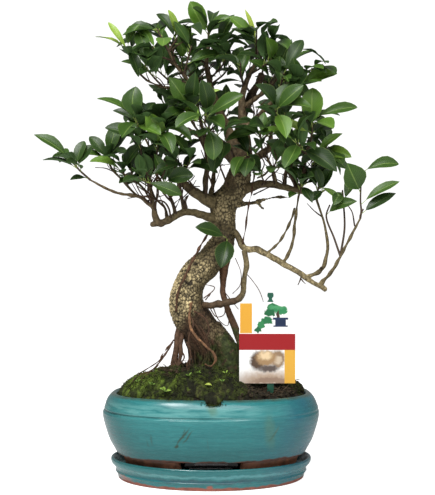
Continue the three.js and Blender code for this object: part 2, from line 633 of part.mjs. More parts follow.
// The point of the leafy part of the shoots that suits a leaf of the usual length.
// No two leaves leave a shoot at quite the same height.
function stalkPoint(curves, tip, order) {
  const heights = [0.55, 0.68, 0.8, 0.92].map((u) => u + 0.013 * (order % 5));
  const spots = curves.flatMap((curve) => heights.map((u) => curve.getPointAt(u)));
  const misfit = (spot) => Math.abs(spot.distanceTo(tip) - LEAF_LENGTH);
  return spots.reduce((best, spot) => (misfit(spot) < misfit(best) ? spot : best));
}

function chosenLeaf(curves, [x, y, z, width, tilt, place], siblings) {
  for (const shift of [0, -6, 6, -12, 12, -18, 18]) {
    const tip = new THREE.Vector3(x, y + shift, z - Math.abs(shift) / 4);
    const base = place === undefined ? stalkPoint(curves, tip, siblings.length)
      : curves[Math.floor(place)].getPointAt(place % 1);
    const leaf = leafSolid(base, tip, width, THREE.MathUtils.degToRad(tilt));
    if (!isBlocked(leaf, siblings)) {
      return leaf;
    }
  }
  return null;
}

// A leaf set around a shoot: turn by turn it swings on by the golden angle.
function spiralLeaf(curves, index, count, seed, siblings) {
  const curve = curves[index % curves.length];
  const u = 0.95 - 0.5 * ((index + 0.4) / count);
  const base = curve.getPointAt(u);
  const axis = curve.getTangentAt(u);
  const level = new THREE.Vector3(0, 0, 1).cross(axis).normalize();
  for (let attempt = 0; attempt < 9; attempt += 1) {
    const turn = GOLDEN_ANGLE * (index + 1) + 0.7 * attempt + 6.28 * scatter(seed);
    const length = LEAF_LENGTH * (0.82 + 0.2 * scatter(seed + index + 0.3));
    const reach = level.clone().applyAxisAngle(axis, turn)
      .addScaledVector(axis, 0.35 + 0.25 * scatter(seed + 2 * index));
    reach.z -= 0.12;
    const tip = base.clone().addScaledVector(reach.normalize(), length);
    const width = length * (0.4 + 0.08 * scatter(seed + 3 * index));
    const tilt = 0.9 * scatter(seed + 5 * index);
    const leaf = leafSolid(base, tip, width, tilt);
    if (!isBlocked(leaf, siblings)) {
      return leaf;
    }
  }
  return null;
}

function shootCurves({ shoots }) {
  return shoots.map((route) => new THREE.CatmullRomCurve3(route.map(vector), false, 'centripetal'));
}

function makeStem({ shoots }) {
  const build = (extra) => join(shoots.map((route) => limb(
    route.map((place, index) => [...place, TWIG_RADIUS * (1 - 0.35 * index / (route.length - 1))]),
    { sides: 5, extra },
  )));
  return { solid: largestPiece(trimmed(build(0))), grown: build(GAP) };
}

function makeLeaves(spray, seed) {
  const curves = shootCurves(spray);
  const grownLeaves = [];
  const keep = (leaf) => {
    if (leaf) {
      grownLeaves.push(leaf);
    }
  };
  spray.leaves.forEach((leaf) => keep(chosenLeaf(curves, leaf, grownLeaves)));
  for (let index = 0; index < spray.extra; index += 1) {
    keep(spiralLeaf(curves, index, spray.extra, seed, grownLeaves));
  }
  return grownLeaves;
}

// --------------------------------------------------------------------- the label

function makeCard() {
  return box(CARD.width, CARD.thickness, CARD.height, CARD.x, CARD.y, CARD.z);
}

// A flat stake whose head is a small goblet that stands above the card's top edge.
function makeStake() {
  const half = STAKE.width / 2;
  const cardTop = CARD.z + CARD.height / 2;
  const right = [
    [0, STAKE.bottom], [half, STAKE.bottom + 14], [half, cardTop - 1], [3.1, cardTop + 1],
    [1.8, cardTop + 2.8], [1.8, cardTop + 4.2], [3.3, cardTop + 6], [3.3, STAKE.top - 1.5],
    [2.6, STAKE.top],
  ];
  const left = right.slice(1).reverse().map(([x, z]) => [-x, z]);
  const outline = new THREE.Shape([...right, ...left].map(([x, z]) => new THREE.Vector2(x, z)));
  const blade = new THREE.ExtrudeGeometry(outline, { depth: STAKE.thickness, bevelEnabled: false });
  return toSolid(blade.rotateX(Math.PI / 2).translate(STAKE.x, STAKE_BACK, 0));
}

// ---------------------------------------------------------------------- assembly

const GLAZE = 0x2f8f92;
const MESH_GREEN = 0x33523a;
const CARD_WHITE = 0xf2efe6;
const STAKE_GREEN = 0x2f7d44;
const BARK = 0x4a4034;
const ROOT_BARK = 0x6a4a33;
const SOIL_BROWN = 0x33261c;
const MOSS_GREEN = 0x5c8a2c;
const LEAF_GREEN = 0x2f5a24;

const saucer = makeSaucer();
const pot = makePot();
show('saucer', saucer, GLAZE, 0.3);
show('pot', pot, GLAZE, 0.3);
register(saucer);
register(pot);
for (const side of [-1, 1]) {
  const drainMesh = makeDrainMesh(side);
  register(drainMesh, makeDrainMesh(side, GAP));
  show(side < 0 ? 'drain_mesh_left' : 'drain_mesh_right', drainMesh, MESH_GREEN, 0.6);
}

const stake = makeStake();
show('label_card', makeCard(), CARD_WHITE, 0.5);
show('label_stake', stake, STAKE_GREEN, 0.5);
register(makeCard());
register(stake, box(
  STAKE.width + 2 * GAP, STAKE.thickness + 2 * GAP, STAKE.inSoil,
  STAKE.x, STAKE_BACK - STAKE.thickness / 2, STAKE.bottom + STAKE.inSoil / 2 - GAP,
));

addWood('trunk', woodPiece(TRUNK, 14, 1.3, 0.035), BARK, 0.9);
addWood('leader_left', woodPiece(LEADER_LEFT, 8, 1, 0), BARK, 0.9);
addWood('leader_right', woodPiece(LEADER_RIGHT, 8, 1, 0), BARK, 0.9);
addWood('low_left_branch', woodPiece(LOW_LEFT_BRANCH, 7, 1, 0), BARK, 0.9);
addWood('upper_left_branch', woodPiece(UPPER_LEFT_BRANCH, 7, 1, 0), BARK, 0.9);
addWood('right_branch', woodPiece(RIGHT_BRANCH, 7, 1, 0), BARK, 0.9);
addWood('low_right_branch', woodPiece(LOW_RIGHT_BRANCH, 7, 1, 0), BARK, 0.9);
addWood('back_left_branch', woodPiece(BACK_LEFT_BRANCH, 7, 1, 0), BARK, 0.9);
addWood('back_right_branch', woodPiece(BACK_RIGHT_BRANCH, 7, 1, 0), BARK, 0.9);
for (const [name, runs] of Object.entries(ROOTS)) {
  addWood(name, woodPiece(runs, 7, 1, 0), ROOT_BARK, 0.85);
}

const soilFill = makeSoilFill();
const soil = largestPiece(trimmed(soilFill));
register(soil, soilFill.translate(0, 0, GAP));
show('soil', soil, SOIL_BROWN, 1);

const potOuter = vessel([
  [0, 30], [112, 40], [119.9, 69], [119.9, 74.7], [119.1, 78.1], [116.3, 84.2], [114.3, 89.3],
  [110.8, 93.3], [107.5, RIM_TOP + GAP], [0, RIM_TOP + GAP],
], POT_SQUARENESS);
const MOSS = {
  moss_left: mossCushion(-65, -20, 36, 42, 5.5),
  moss_front: mossCushion(0, -62, 44, 22, 5).add(mossOverhang()),
  moss_right: mossCushion(82, 6, 20, 42, 5),
};
for (const [name, cushion] of Object.entries(MOSS)) {
  const patch = largestPiece(trimmed(cushion.subtract(potOuter)));
  register(patch);
  show(name, patch, MOSS_GREEN, 1);
}

const stems = Object.values(FOLIAGE).map((spray) => {
  const stem = makeStem(spray);
  register(stem.solid, stem.grown);
  return stem.solid;
});
Object.entries(FOLIAGE).forEach(([name, spray], index) => {
  const stem = stems[index];
  const own = standing.findIndex((other) => other.solid === stem);
  const [stemRecord] = standing.splice(own, 1);
  const leaves = makeLeaves(spray, index + 1);
  standing.push(stemRecord);
  leaves.forEach((leaf) => register(leaf));
  show(`leaves_${name}`, largestPiece(join([stem, ...leaves])), LEAF_GREEN, 0.4);
});

export default model;
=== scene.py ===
# A small indoor fig bonsai in an oval glazed pot on its saucer, with a plant label.
# Tables are in millimetres; the pot's front faces -Y and +Z is up.
import itertools
import math
from functools import partialmethod

import bpy
import numpy as np
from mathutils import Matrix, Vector


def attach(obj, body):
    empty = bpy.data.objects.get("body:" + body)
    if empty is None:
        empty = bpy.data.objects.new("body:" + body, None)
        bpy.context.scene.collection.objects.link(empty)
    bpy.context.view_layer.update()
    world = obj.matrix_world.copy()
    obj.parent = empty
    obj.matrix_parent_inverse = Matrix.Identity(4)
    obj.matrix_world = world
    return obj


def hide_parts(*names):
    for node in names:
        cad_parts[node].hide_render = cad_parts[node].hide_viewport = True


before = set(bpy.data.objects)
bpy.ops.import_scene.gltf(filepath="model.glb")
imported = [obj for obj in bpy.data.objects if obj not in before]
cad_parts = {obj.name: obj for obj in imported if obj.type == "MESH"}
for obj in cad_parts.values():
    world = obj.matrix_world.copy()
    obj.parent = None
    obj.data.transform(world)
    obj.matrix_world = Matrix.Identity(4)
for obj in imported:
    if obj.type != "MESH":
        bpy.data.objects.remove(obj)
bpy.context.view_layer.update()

MM = 0.001
TAU = 2 * math.pi

# --- sizes

PLAN_RATIO = 0.78            # depth of the pot and saucer over their width
POT_SQUARENESS = 2.3         # exponent of the pot's oval, 2 is an ellipse
RIM_TOP = 94.5
MOUTH_HALF_WIDTH = 104
MOSS_REACH = 103.6           # half width of the oval that the moss cushions keep inside
MOUND_RISE = 31
SAUCER_FLOOR = 12
FOOT_BOTTOM = 12.3
POT_UNDERSIDE = 29
POT_FLOOR = 36
POT_HALF_WIDTH = 119.6
GROOVE_HEIGHT = 76
LEAF_LENGTH = 41
LEAF_THICKNESS = 0.55
TWIG_RADIUS = 1.25

TUFT_SPOTS = 44000
OVERHANG_TIPS = 420
LEAVES_ADDED = 5             # leaves a spray has beyond those of its node
VIEWING_DISTANCE = 1100
GOLDEN_ANGLE = 2.4
FLOOR_GLOW = 0.78
AMBIENT = 0.31

# --- routes, as (x, y, z, radius)

TRUNK = [
    [(-2, 8, 90, 20), (-2, 7, 112, 19), (-4, 5, 138, 20.3), (-8, 2, 152, 21), (-13, -1, 164, 19.8),
     (-21, -5, 177, 19.2), (-27, -8, 192, 18.2), (-25, -9, 208, 17.4), (-17, -8, 223, 16.4),
     (-5, -5, 236, 15.6), (6, -3, 247, 14.6), (13, 0, 259, 13.4), (15, 2, 271, 13), (13, 3, 285, 14.3),
     (14, 3, 299, 15), (20, 2, 311, 15), (28, 0, 322, 14.2), (32, 0, 336, 12), (32, 1, 352, 10)],
    [(-3, 6, 142, 15), (-6, 4, 164, 14), (-12, 0, 182, 9)],
    [(6, -4, 126, 9), (18, -14, 114, 6), (32, -26, 104, 4), (44, -34, 96, 3)],
    [(4, 0, 168, 7), (13, -3, 152, 9.5), (20, -7, 136, 12), (25, -9, 112, 13), (26, -10, 92, 13)],
    [(-12, 6, 124, 9), (-34, 8, 116, 6), (-54, 12, 108, 4)],
    [(33, 3, 345, 8), (30, 16, 370, 7), (35, 30, 401, 5.5), (47, 42, 431, 4.5), (59, 50, 456, 3.2)],
    [(30, 0, 302, 4), (45, -6, 303, 1.9), (57, -10, 306, 1.6), (72, -14, 309, 1.3), (86, -22, 308, 1)],
    [(50, -8, 304, 1.3), (58, -12, 296, 0.9)],
]
BRANCHES = {
    "leader_left": [
        [(31, 1, 345, 9), (26, 4, 363, 7.6), (19, 8, 386, 5.6), (8, 8, 411, 4), (-1, 5, 436, 3.3),
         (-5, 2, 458, 2.7), (-3, -2, 478, 2)],
        [(19, 8, 386, 3.2), (6, -6, 404, 2.4), (-8, -18, 420, 2.2), (-23, -26, 433, 1.8),
         (-36, -30, 448, 1.5), (-46, -32, 466, 1.2)],
        [(8, 8, 411, 2.7), (-6, 16, 430, 2.2), (-24, 20, 449, 2), (-44, 20, 463, 1.6), (-66, 17, 473, 1.3)],
        [(-22, -26, 432, 1.7), (-38, -30, 428, 1.4), (-51, -34, 426, 1.3), (-69, -38, 433, 1.2)],
    ],
    "leader_right": [
        [(33, 0, 345, 9.5), (38, -3, 362, 7.4), (37, -6, 384, 5.4), (34, -6, 408, 4.2),
         (37, -4, 431, 3.3), (50, -2, 461, 2)],
        [(37, -6, 384, 3.2), (56, -16, 402, 2.6), (71, -24, 416, 2.2), (84, -28, 431, 1.7),
         (97, -30, 441, 1.4)],
        [(34, -6, 408, 2.9), (59, 4, 428, 2.4), (77, 10, 447, 1.8), (91, 12, 463, 1.4)],
    ],
    "low_left_branch": [
        [(9, 0, 285, 6), (-7, -6, 289, 4.8), (-18, -9, 292, 4.2), (-28, -12, 293, 4), (-38, -14, 289, 4),
         (-48, -16, 283, 4), (-57, -17, 280.5, 3.9), (-61, -18, 288, 3.4), (-63, -20, 297, 2.7),
         (-70, -21, 303, 2.2), (-76, -22, 308, 2), (-83, -24, 310, 1.8)],
        [(-56, -17, 281, 3.4), (-61, -17, 279.5, 3.4), (-66, -17, 278.5, 2.7)],
        [(-83, -24, 310, 1.8), (-99, -28, 312, 1.5), (-113, -32, 317, 1.3), (-130, -35, 326, 1.2)],
        [(-80, -23, 309, 1.7), (-91, -20, 321, 1.6), (-109, -14, 340, 1.2)],
        [(-62, -19, 293, 2), (-64, -24, 309, 1.7), (-74, -36, 338, 1.2)],
        [(-48, -16, 284, 1.9), (-51, -10, 298, 1.5), (-61, -4, 307, 1.4), (-73, 10, 336, 1.2)],
        [(-40, -14, 288, 1.8), (-42, -20, 302, 1.5), (-60, -34, 334, 1.2)],
        [(-30, -12, 293, 1.8), (-34, -18, 314, 1.4), (-38, -24, 335, 1.2)],
    ],
    "upper_left_branch": [
        [(13, 2, 301, 8.5), (-3, -5, 306, 7), (-14, -10, 312, 6), (-25, -14, 319, 4.8),
         (-34, -16, 330, 3.6), (-43, -20, 350, 2.6), (-54, -28, 371, 1.8)],
        [(-7, -6, 313, 3.2), (-6, -8, 326, 2.9), (-5, -16, 355, 2.4), (-9, -21, 371, 2),
         (-22, -27, 393, 1.4)],
        [(-1, -4, 311, 3), (2, 6, 324, 2.5), (3, 22, 360, 1.9), (-4, 32, 400, 1.3)],
        [(-25, -14, 321, 2.4), (-37, -6, 328, 2.2), (-60, 10, 352, 1.6), (-77, 20, 381, 1.2)],
    ],
    "right_branch": [
        [(29, 0, 318, 8), (45, -6, 321, 5.4), (56, -10, 324, 4.4), (68, -13, 323, 4), (80, -16, 320, 3.6),
         (92, -18, 317, 3.2), (106, -20, 312, 2.2)],
        [(97, -19, 315, 2.6), (101, -24, 333, 2.2), (103, -30, 354, 1.8)],
        [(97, -18, 317, 2.2), (85, -12, 338, 1.9), (80, -6, 362, 1.6), (82, 0, 383, 1.4)],
        [(72, -14, 322, 2), (66, -23, 342, 1.7), (55, -30, 361, 1.4)],
        [(94, -18, 317, 2.1), (108, -4, 332, 1.9), (127, 14, 355, 1.5)],
        [(81, -16, 320, 2.3), (84, 4, 337, 2), (100, 26, 366, 1.6), (109, 36, 389, 1.4)],
    ],
    "low_right_branch": [
        [(16, 2, 278, 5.5), (28, -3, 269, 3.7), (37, -11, 253, 3.6), (52, -18, 251, 3.6),
         (61, -22, 246, 3.4), (72, -25, 240, 3.3), (98, -31, 224, 3), (111, -34, 215, 2.7),
         (124, -36, 208, 2.4)],
        [(60, -22, 246, 1.6), (75, -19, 260, 1.4), (88, -16, 284, 1.2), (92, -15, 297, 1)],
        [(78, -27, 235, 2.3), (88, -24, 255, 1.8), (92, -24, 284, 1.5), (95, -28, 308, 1.2)],
        [(103, -32, 221, 2.3), (119, -35, 229, 2.3), (126, -34, 251, 1.7), (124, -31, 274, 1.4),
         (115, -26, 306, 1.2)],
        [(117, -35, 212, 2.4), (131, -39, 229, 1.9), (146, -41, 257, 1.6), (160, -43, 284, 1.3)],
    ],
    "back_left_branch": [
        [(27, 4, 350, 6), (12, 24, 366, 4.6), (-6, 46, 380, 3.8), (-28, 64, 395, 2.6)],
        [(-6, 46, 380, 2.6), (-13, 62, 405, 2.1), (-18, 74, 430, 1.6)],
    ],
    "back_right_branch": [
        [(34, 2, 340, 6.5), (49, 28, 355, 5), (66, 50, 369, 4), (86, 68, 383, 2.6)],
        [(66, 50, 369, 2.8), (72, 66, 394, 2.2), (79, 78, 421, 1.7)],
    ],
}
ROOTS = {
    "aerial_root_centre": [
        [(14, 2, 242, 8), (14, -1, 222, 4.2), (13, -4, 204, 3), (19, -10, 185, 3.3), (29, -14, 160, 4),
         (33, -16, 146, 4), (36, -17, 128, 3.6), (36, -18, 102, 3)],
    ],
    "aerial_root_hook": [
        [(37, -12, 250, 3.2), (39, -14, 236, 2.9), (36, -15, 214, 2.8), (35, -17, 203, 3.2),
         (30, -20, 197, 3.7), (16, -24, 193, 4), (4, -25, 191, 3.8), (-8, -18, 190, 3.4)],
    ],
    "left_roots": [
        [(-33, -6, 172, 5), (-37, -13, 153, 3.4), (-39, -18, 130, 3), (-40, -22, 100, 2.6)],
        [(-30, -5, 166, 4.5), (-35, -12, 148, 2.6), (-42, -16, 128, 2.2), (-39, -18, 98, 2.2)],
        [(-33, -10, 160, 3), (-33, -20, 142, 2.2), (-36, -26, 120, 2), (-45, -34, 96, 1.8)],
        [(-41, -14, 152, 0.9), (-52, -17, 138, 0.7), (-61, -22, 122, 0.7), (-80, -28, 113, 0.7),
         (-88, -31, 104, 0.7)],
    ],
    "curled_root": [
        [(-22, -24, 194, 1.5), (-23, -28, 179, 1.3), (-22, -29, 166, 1.2), (-8, -33, 149, 1.1),
         (3, -34, 139, 1.1), (5, -34, 131, 1), (0, -34, 125, 0.9), (-6, -33, 127, 0.8)],
    ],
    "dark_root": [
        [(4, -9, 277, 1.6), (-6, -20, 264, 1.3), (-18, -27, 243, 1.3), (-28, -30, 222, 1.4),
         (-36, -29, 203, 1.2), (-38, -23, 184, 1.2)],
    ],
    "upper_aerial_root": [
        [(44, -8, 362, 1.3), (47, -16, 344, 0.9), (45, -20, 317, 0.8), (41, -19, 298, 0.8),
         (38, -15, 275, 0.8), (35, -12, 258, 0.8)],
    ],
}

# Each spray: the number of further leaves, its shoots, and its chosen leaves as (tip x, y, z,
# width, tilt, tone). Tilt 0 lays a blade flat and 90 turns its face to the front; tone runs
# from 0, deep green, to 3, young, and 4, yellow.
FOLIAGE = {
    "far_left": (3, [[(-130, -35, 326), (-142, -37, 337), (-152, -38, 349)]], [
        (-190, -42, 374, 15, 45, 1), (-181, -40, 347, 9, 20, 0), (-128, -34, 364, 18, 40, 0),
        (-158, -66, 350, 18, 10, 0), (-150, -48, 325, 10, 40, 0, 0.1),
    ]),
    "left_low": (8, [[(-109, -14, 340), (-113, -15, 349), (-115, -16, 358)],
        [(-91, -20, 321), (-95, -24, 334), (-98, -26, 346)]], [
        (-146, -16, 354, 16, 30, 1), (-134, -12, 376, 14, 60, 0), (-130, -42, 345, 14, 40, 2),
        (-103, -12, 390, 16, 70, 1), (-90, -44, 356, 16, 40, 1),
    ]),
    "left_mid": (6, [[(-74, -36, 338), (-75, -39, 357), (-77, -42, 376), (-79, -43, 390)]], [
        (-122, -45, 412, 12, 35, 1), (-80, -46, 425, 23, 88, 1), (-114, -38, 382, 18, 50, 0),
        (-92, -76, 366, 20, 40, 1), (-60, -34, 410, 16, 60, 0), (-52, -68, 370, 18, 40, 2),
    ]),
    "left_inner": (10, [[(-60, -34, 334), (-58, -38, 353), (-55, -44, 384)],
        [(-51, -27, 318), (-66, -38, 322), (-78, -44, 328)]], [
        (-20, -56, 364, 17, 30, 1), (-68, -60, 396, 20, 75, 2), (-40, -72, 350, 17, 40, 1),
        (-31, -44, 309, 16, 60, 0.6),
    ]),
    "left_hollow": (13, [[(-73, 10, 336), (-76, 12, 346), (-78, 14, 355)],
        [(-61, -4, 307), (-78, -8, 322), (-90, -10, 334)],
        [(-67, 3, 322), (-58, 12, 340), (-54, 16, 352)]], [
        (-95, 4, 324, 15, 40, 0),
    ]),
    "left_hang": (12, [[(-38, -24, 335), (-38, -26, 344), (-38, -28, 352)],
        [(-36, -21, 325), (-26, -34, 340), (-20, -40, 350)],
        [(-34, -18, 314), (-44, -26, 321), (-52, -32, 324)]], [
        (-18, -46, 330, 19, 75, 0), (-62, -50, 330, 16, 40, 0),
    ]),
    "left_high": (6, [[(-54, -28, 371), (-55, -30, 381), (-55, -31, 388)]], [
        (-82, -18, 404, 14, 50, 1), (-36, -20, 414, 17, 45, 1),
    ]),
    "centre": (5, [[(-22, -27, 393), (-23, -29, 400), (-23, -31, 407)]], [
        (-45, -40, 436, 20, 70, 1), (10, -42, 422, 9, 50, 3), (-14, -64, 384, 14, 55, 2),
        (-52, -56, 384, 17, 45, 1), (-16, -50, 440, 18, 50, 0),
    ]),
    "inner_back": (14, [[(-4, 32, 400), (-5, 34, 413), (-6, 35, 422)],
        [(-2, 30, 388), (14, 34, 402), (22, 36, 412)]], [
    ]),
    "left_back": (7, [[(-77, 20, 381), (-81, 22, 391), (-83, 24, 400)]], [
        (-112, 22, 410, 15, 40, 0),
    ]),
    "upper_far_left": (9, [[(-69, -38, 433), (-79, -40, 443), (-90, -42, 468)],
        [(-51, -34, 426), (-62, -46, 436), (-70, -52, 446)],
        [(-38, -30, 428), (-50, -18, 440), (-60, -12, 450)]], [
        (-124, -46, 478, 9, 20, 3), (-110, -44, 494, 8, 50, 3), (-78, -38, 487, 16, 80, 1),
        (-96, -44, 452, 14, 35, 1), (-76, -60, 432, 13, 20, 0),
    ]),
    "upper_left": (18, [[(-46, -32, 466), (-53, -34, 479), (-58, -35, 489)],
        [(-46, -32, 466), (-38, -24, 479), (-33, -19, 490)],
        [(-30, -28, 440), (-25, -34, 456), (-21, -38, 470)],
        [(-40, -31, 455), (-54, -44, 458), (-62, -50, 466)],
        [(-23, -26, 433), (-30, -12, 448), (-32, -6, 460)]], [
        (-46, -38, 509, 9, 40, 3), (-60, -16, 510, 13, 40, 0), (-88, -38, 490, 13, 30, 2),
        (-94, -52, 478, 14, 20, 1), (-22, -26, 495, 16, 60, 2), (-46, 0, 506, 14, 40, 0),
        (-10, -52, 478, 17, 30, 0), (-50, -72, 462, 17, 30, 2),
    ]),
    "upper_left_back": (12, [[(-66, 17, 473), (-74, 14, 486), (-78, 12, 496)],
        [(-24, 20, 449), (-20, 32, 462), (-18, 38, 472)],
        [(-44, 20, 463), (-46, 32, 476), (-46, 38, 486)]], [
        (-98, 4, 492, 12, 30, 2), (-108, 22, 482, 15, 30, 0), (-70, 22, 508, 14, 50, 1),
    ]),
    "top_centre": (18, [[(-3, -2, 477), (-3, -3, 487), (-3, -4, 496)],
        [(-2, 4, 442), (12, -10, 454), (18, -20, 464)],
        [(-5, 2, 458), (-12, -12, 462), (-14, -20, 468)],
        [(-1, 5, 436), (14, 16, 450), (22, 24, 462)], [(-5, 0, 465), (10, 4, 478), (18, 6, 488)]], [
        (-23, -12, 525, 20, 75, 2), (-44, 2, 500, 14, 30, 0), (26, -10, 511, 15, 60, 1),
        (3, 28, 522, 14, 40, 0), (28, -34, 490, 18, 25, 0), (-16, -42, 466, 17, 30, 0),
    ]),
    "top_right": (18, [[(50, -2, 461), (50, -12, 476), (50, -22, 492)],
        [(50, -2, 461), (53, 8, 477), (56, 12, 488)],
        [(37, -4, 431), (33, -18, 442), (32, -26, 454)],
        [(50, -2, 461), (62, -10, 470), (70, -14, 480)],
        [(43, -3, 446), (57, -18, 452), (66, -26, 458)]], [
        (37, -22, 514, 6, 60, 3), (73, -24, 499, 14, 45, 1), (20, -20, 506, 16, 55, 2),
        (85, -14, 483, 13, 20, 0), (58, -62, 474, 17, 75, 2), (30, -52, 458, 16, 40, 0),
        (82, -50, 464, 15, 40, 1),
    ]),
    "right_top": (12, [[(91, 12, 463), (93, 10, 470), (95, 8, 477)],
        [(59, 4, 428), (68, -8, 440), (74, -16, 450)],
        [(77, 10, 447), (84, 22, 458), (88, 28, 466)]], [
        (88, -26, 480, 17, 70, 1), (114, 6, 474, 13, 30, 1), (128, 0, 458, 13, 5, 0),
        (77, 30, 488, 15, 55, 1),
    ]),
    "right_high": (11, [[(97, -30, 441), (105, -32, 444), (113, -33, 447)],
        [(71, -24, 416), (84, -36, 420), (94, -42, 424)],
        [(71, -24, 416), (76, -36, 430), (78, -42, 440)]], [
        (136, -40, 440, 17, 60, 2), (118, -60, 428, 14, 25, 1), (105, -14, 420, 14, 30, 1),
        (107, -34, 408, 14, 50, 1), (86, -62, 416, 18, 45, 0), (99, -40, 476, 16, 50, 0),
    ]),
    "right_mid": (7, [[(103, -30, 353), (108, -34, 368), (110, -38, 395)],
        [(103, -30, 353), (97, -42, 358), (91, -52, 364)]], [
        (109, -44, 424, 24, 88, 2), (158, -38, 404, 13, 68, 1), (134, -8, 392, 19, 70, 0),
        (74, -46, 390, 10, 70, 3), (80, -14, 376, 19, 45, 1), (128, -72, 376, 19, 45, 2),
        (133, -62, 332, 21, 65, 0), (50, -60, 374, 15, 40, 2), (76, -82, 334, 17, 40, 1),
    ]),
    "right_low": (9, [[(127, 14, 355), (129, 10, 364), (130, 6, 370)],
        [(108, -4, 332), (112, -16, 342), (114, -24, 350)]], [
        (144, -22, 378, 12, 40, 2), (154, -20, 352, 17, 75, 2), (120, -4, 326, 19, 70, 0),
        (144, -26, 344, 17, 40, 1),
    ]),
    "right_back": (8, [[(109, 36, 389), (110, 38, 401), (112, 40, 409)]], [
        (150, 46, 408, 15, 30, 0),
    ]),
    "right_inner": (14, [[(82, 0, 383), (82, -2, 394), (82, -4, 402)],
        [(85, -12, 338), (92, 2, 350), (94, 8, 360)]], [
    ]),
    "right_centre": (17, [[(55, -30, 361), (54, -32, 371), (53, -34, 379)],
        [(66, -23, 342), (74, -34, 340), (82, -40, 344)],
        [(60, -28, 352), (44, -36, 350), (36, -42, 352)],
        [(66, -23, 342), (58, -30, 332), (50, -36, 328)]], [
        (16, -48, 366, 16, 40, 1),
    ]),
    "far_right": (0, [[(160, -43, 284), (161, -44, 292), (160, -45, 302), (161, -46, 334)],
        [(160, -43, 286), (161, -44, 290), (163, -45, 294)]], [
        (144, -58, 342, 26, 84, 1), (201, -46, 342, 15, 62, 1, 0.98), (201, -50, 323, 13, 45, 1, 0.3),
        (198, -46, 311, 15, 45, 0, 0.1),
    ]),
    "right_small": (1, [[(139, -40, 244), (133, -36, 263), (125, -31, 287), (128, -37, 299)],
        [(139, -40, 244), (144, -37, 274), (143, -34, 304), (142, -35, 315)]], [
        (131, -48, 298, 12, 75, 1, 1.98), (158, -14, 334, 13, 30, 1), (156, -50, 302, 14, 62, 1, 0.8),
    ]),
    "right_drop": (2, [[(115, -26, 306), (116, -28, 315), (117, -30, 320)],
        [(115, -26, 306), (119, -31, 312), (123, -36, 315)]], [
        (107, -46, 302, 11, 50, 0, 1.98), (145, -44, 297, 7, 70, 2.5, 0.95),
    ]),
    "right_pale": (4, [[(95, -28, 308), (97, -32, 316), (99, -34, 321)]], [
        (84, -44, 306, 10, 30, 1, 0.3), (108, -52, 300, 12, 40, 0),
    ]),
    "back_top": (14, [[(59, 50, 456), (61, 52, 467), (64, 54, 477)],
        [(47, 42, 431), (36, 34, 446), (30, 30, 456)]], [
    ]),
    "back_left_high": (13, [[(-18, 74, 430), (-20, 76, 442), (-21, 78, 451)],
        [(-13, 62, 405), (-34, 62, 420), (-44, 62, 430)]], [
    ]),
    "back_left": (12, [[(-28, 64, 395), (-47, 76, 412), (-59, 80, 431)],
        [(-28, 64, 395), (-44, 82, 386), (-71, 98, 389)]], [
    ]),
    "back_right_high": (8, [[(79, 78, 421), (82, 80, 433), (84, 82, 442)]], [
    ]),
    "back_right": (12, [[(86, 68, 383), (103, 80, 399), (117, 84, 414)],
        [(86, 68, 383), (106, 84, 372), (138, 100, 371)]], [
    ]),
    "centre_front": (5, [[(26, -2, 354), (19, -24, 364), (6, -42, 373), (-6, -56, 383), (-4, -64, 395)]], [
        (3, -66, 344, 20, 75, 1), (34, -78, 410, 19, 60, 1), (40, -66, 384, 16, 25, 1),
        (-36, -80, 376, 18, 40, 1), (-9, -88, 424, 18, 55, 0), (14, -98, 372, 17, 50, 1),
        (2, -50, 332, 18, 70, 0),
    ]),
    "front_right": (6, [[(39, -6, 355), (49, -26, 364), (61, -44, 374), (71, -58, 385), (67, -66, 400)]], [
        (40, -78, 378, 18, 60, 0), (78, -84, 364, 18, 50, 2), (46, -84, 420, 18, 55, 0),
        (96, -80, 420, 19, 60, 1), (104, -84, 396, 17, 40, 1),
    ]),
    "trunk_shoot": (0, [[(14, -8, 262), (18, -20, 264), (19, -28, 267)]], [
        (-17, -36, 275, 19, 55, 0), (11, -42, 231, 21, 62, 0),
    ]),
}

# --- fields in space


def rise(value, low, high):
    """0 below low, 1 above high, and an S-curve, 3t^2 - 2t^3, between them."""
    part = np.clip((value - low) / (high - low), 0, 1)
    return part * part * (3 - 2 * part)


def waves(points, size, seed, count=7):
    """A smooth field of about -1 to 1: the sum of sine waves of random direction and
    phase, each about size long."""
    rng = np.random.default_rng(seed)
    direction = rng.normal(size=(3, count))
    direction /= np.linalg.norm(direction, axis=0)
    length = size * rng.uniform(0.7, 1.5, count)
    phase = rng.uniform(0, TAU, count)
    return np.sin(points @ (direction * TAU / length) + phase).sum(axis=1) / math.sqrt(count)


def chance(cube):
    """Three numbers from 0 to 1 for each whole-numbered cube: the fractions of large sines."""
    mix = np.array([[12.99, 39.35, 73.16], [78.23, 11.14, 52.24], [37.72, 83.16, 9.87]])
    return np.modf(np.abs(np.sin(cube @ mix)) * 43758.5)[0]


def pebbles(points, size):
    """0 in the cracks between rounded cells and 1 inside them, from the gap between the
    nearest and second nearest of one scattered seed in each cube; and a number per cell."""
    grid = points / size
    home = np.floor(grid)
    nearest = np.full(len(points), 9.0)
    second = np.full(len(points), 9.0)
    tone = np.zeros(len(points))
    for offset in itertools.product((-1, 0, 1), repeat=3):
        cube = home + offset
        luck = chance(cube)
        far = np.linalg.norm(grid - cube - luck, axis=1)
        closer = far < nearest
        second = np.minimum(second, np.maximum(nearest, far))
        tone = np.where(closer, luck[:, 0], tone)
        nearest = np.minimum(nearest, far)
    return rise(second - nearest, 0.0, 0.30), tone


def points_at(x, y, z):
    """Points from their coordinates, any of which may be one number for all."""
    return np.stack(np.broadcast_arrays(x, y, z), axis=-1)


def oval_reach(x, y, half_width):
    """|x/a|^n + |y/b|^n, which is 1 on an oval of the pot's shape and less inside it."""
    return abs(x / half_width) ** POT_SQUARENESS + abs(y / (half_width * PLAN_RATIO)) ** POT_SQUARENESS


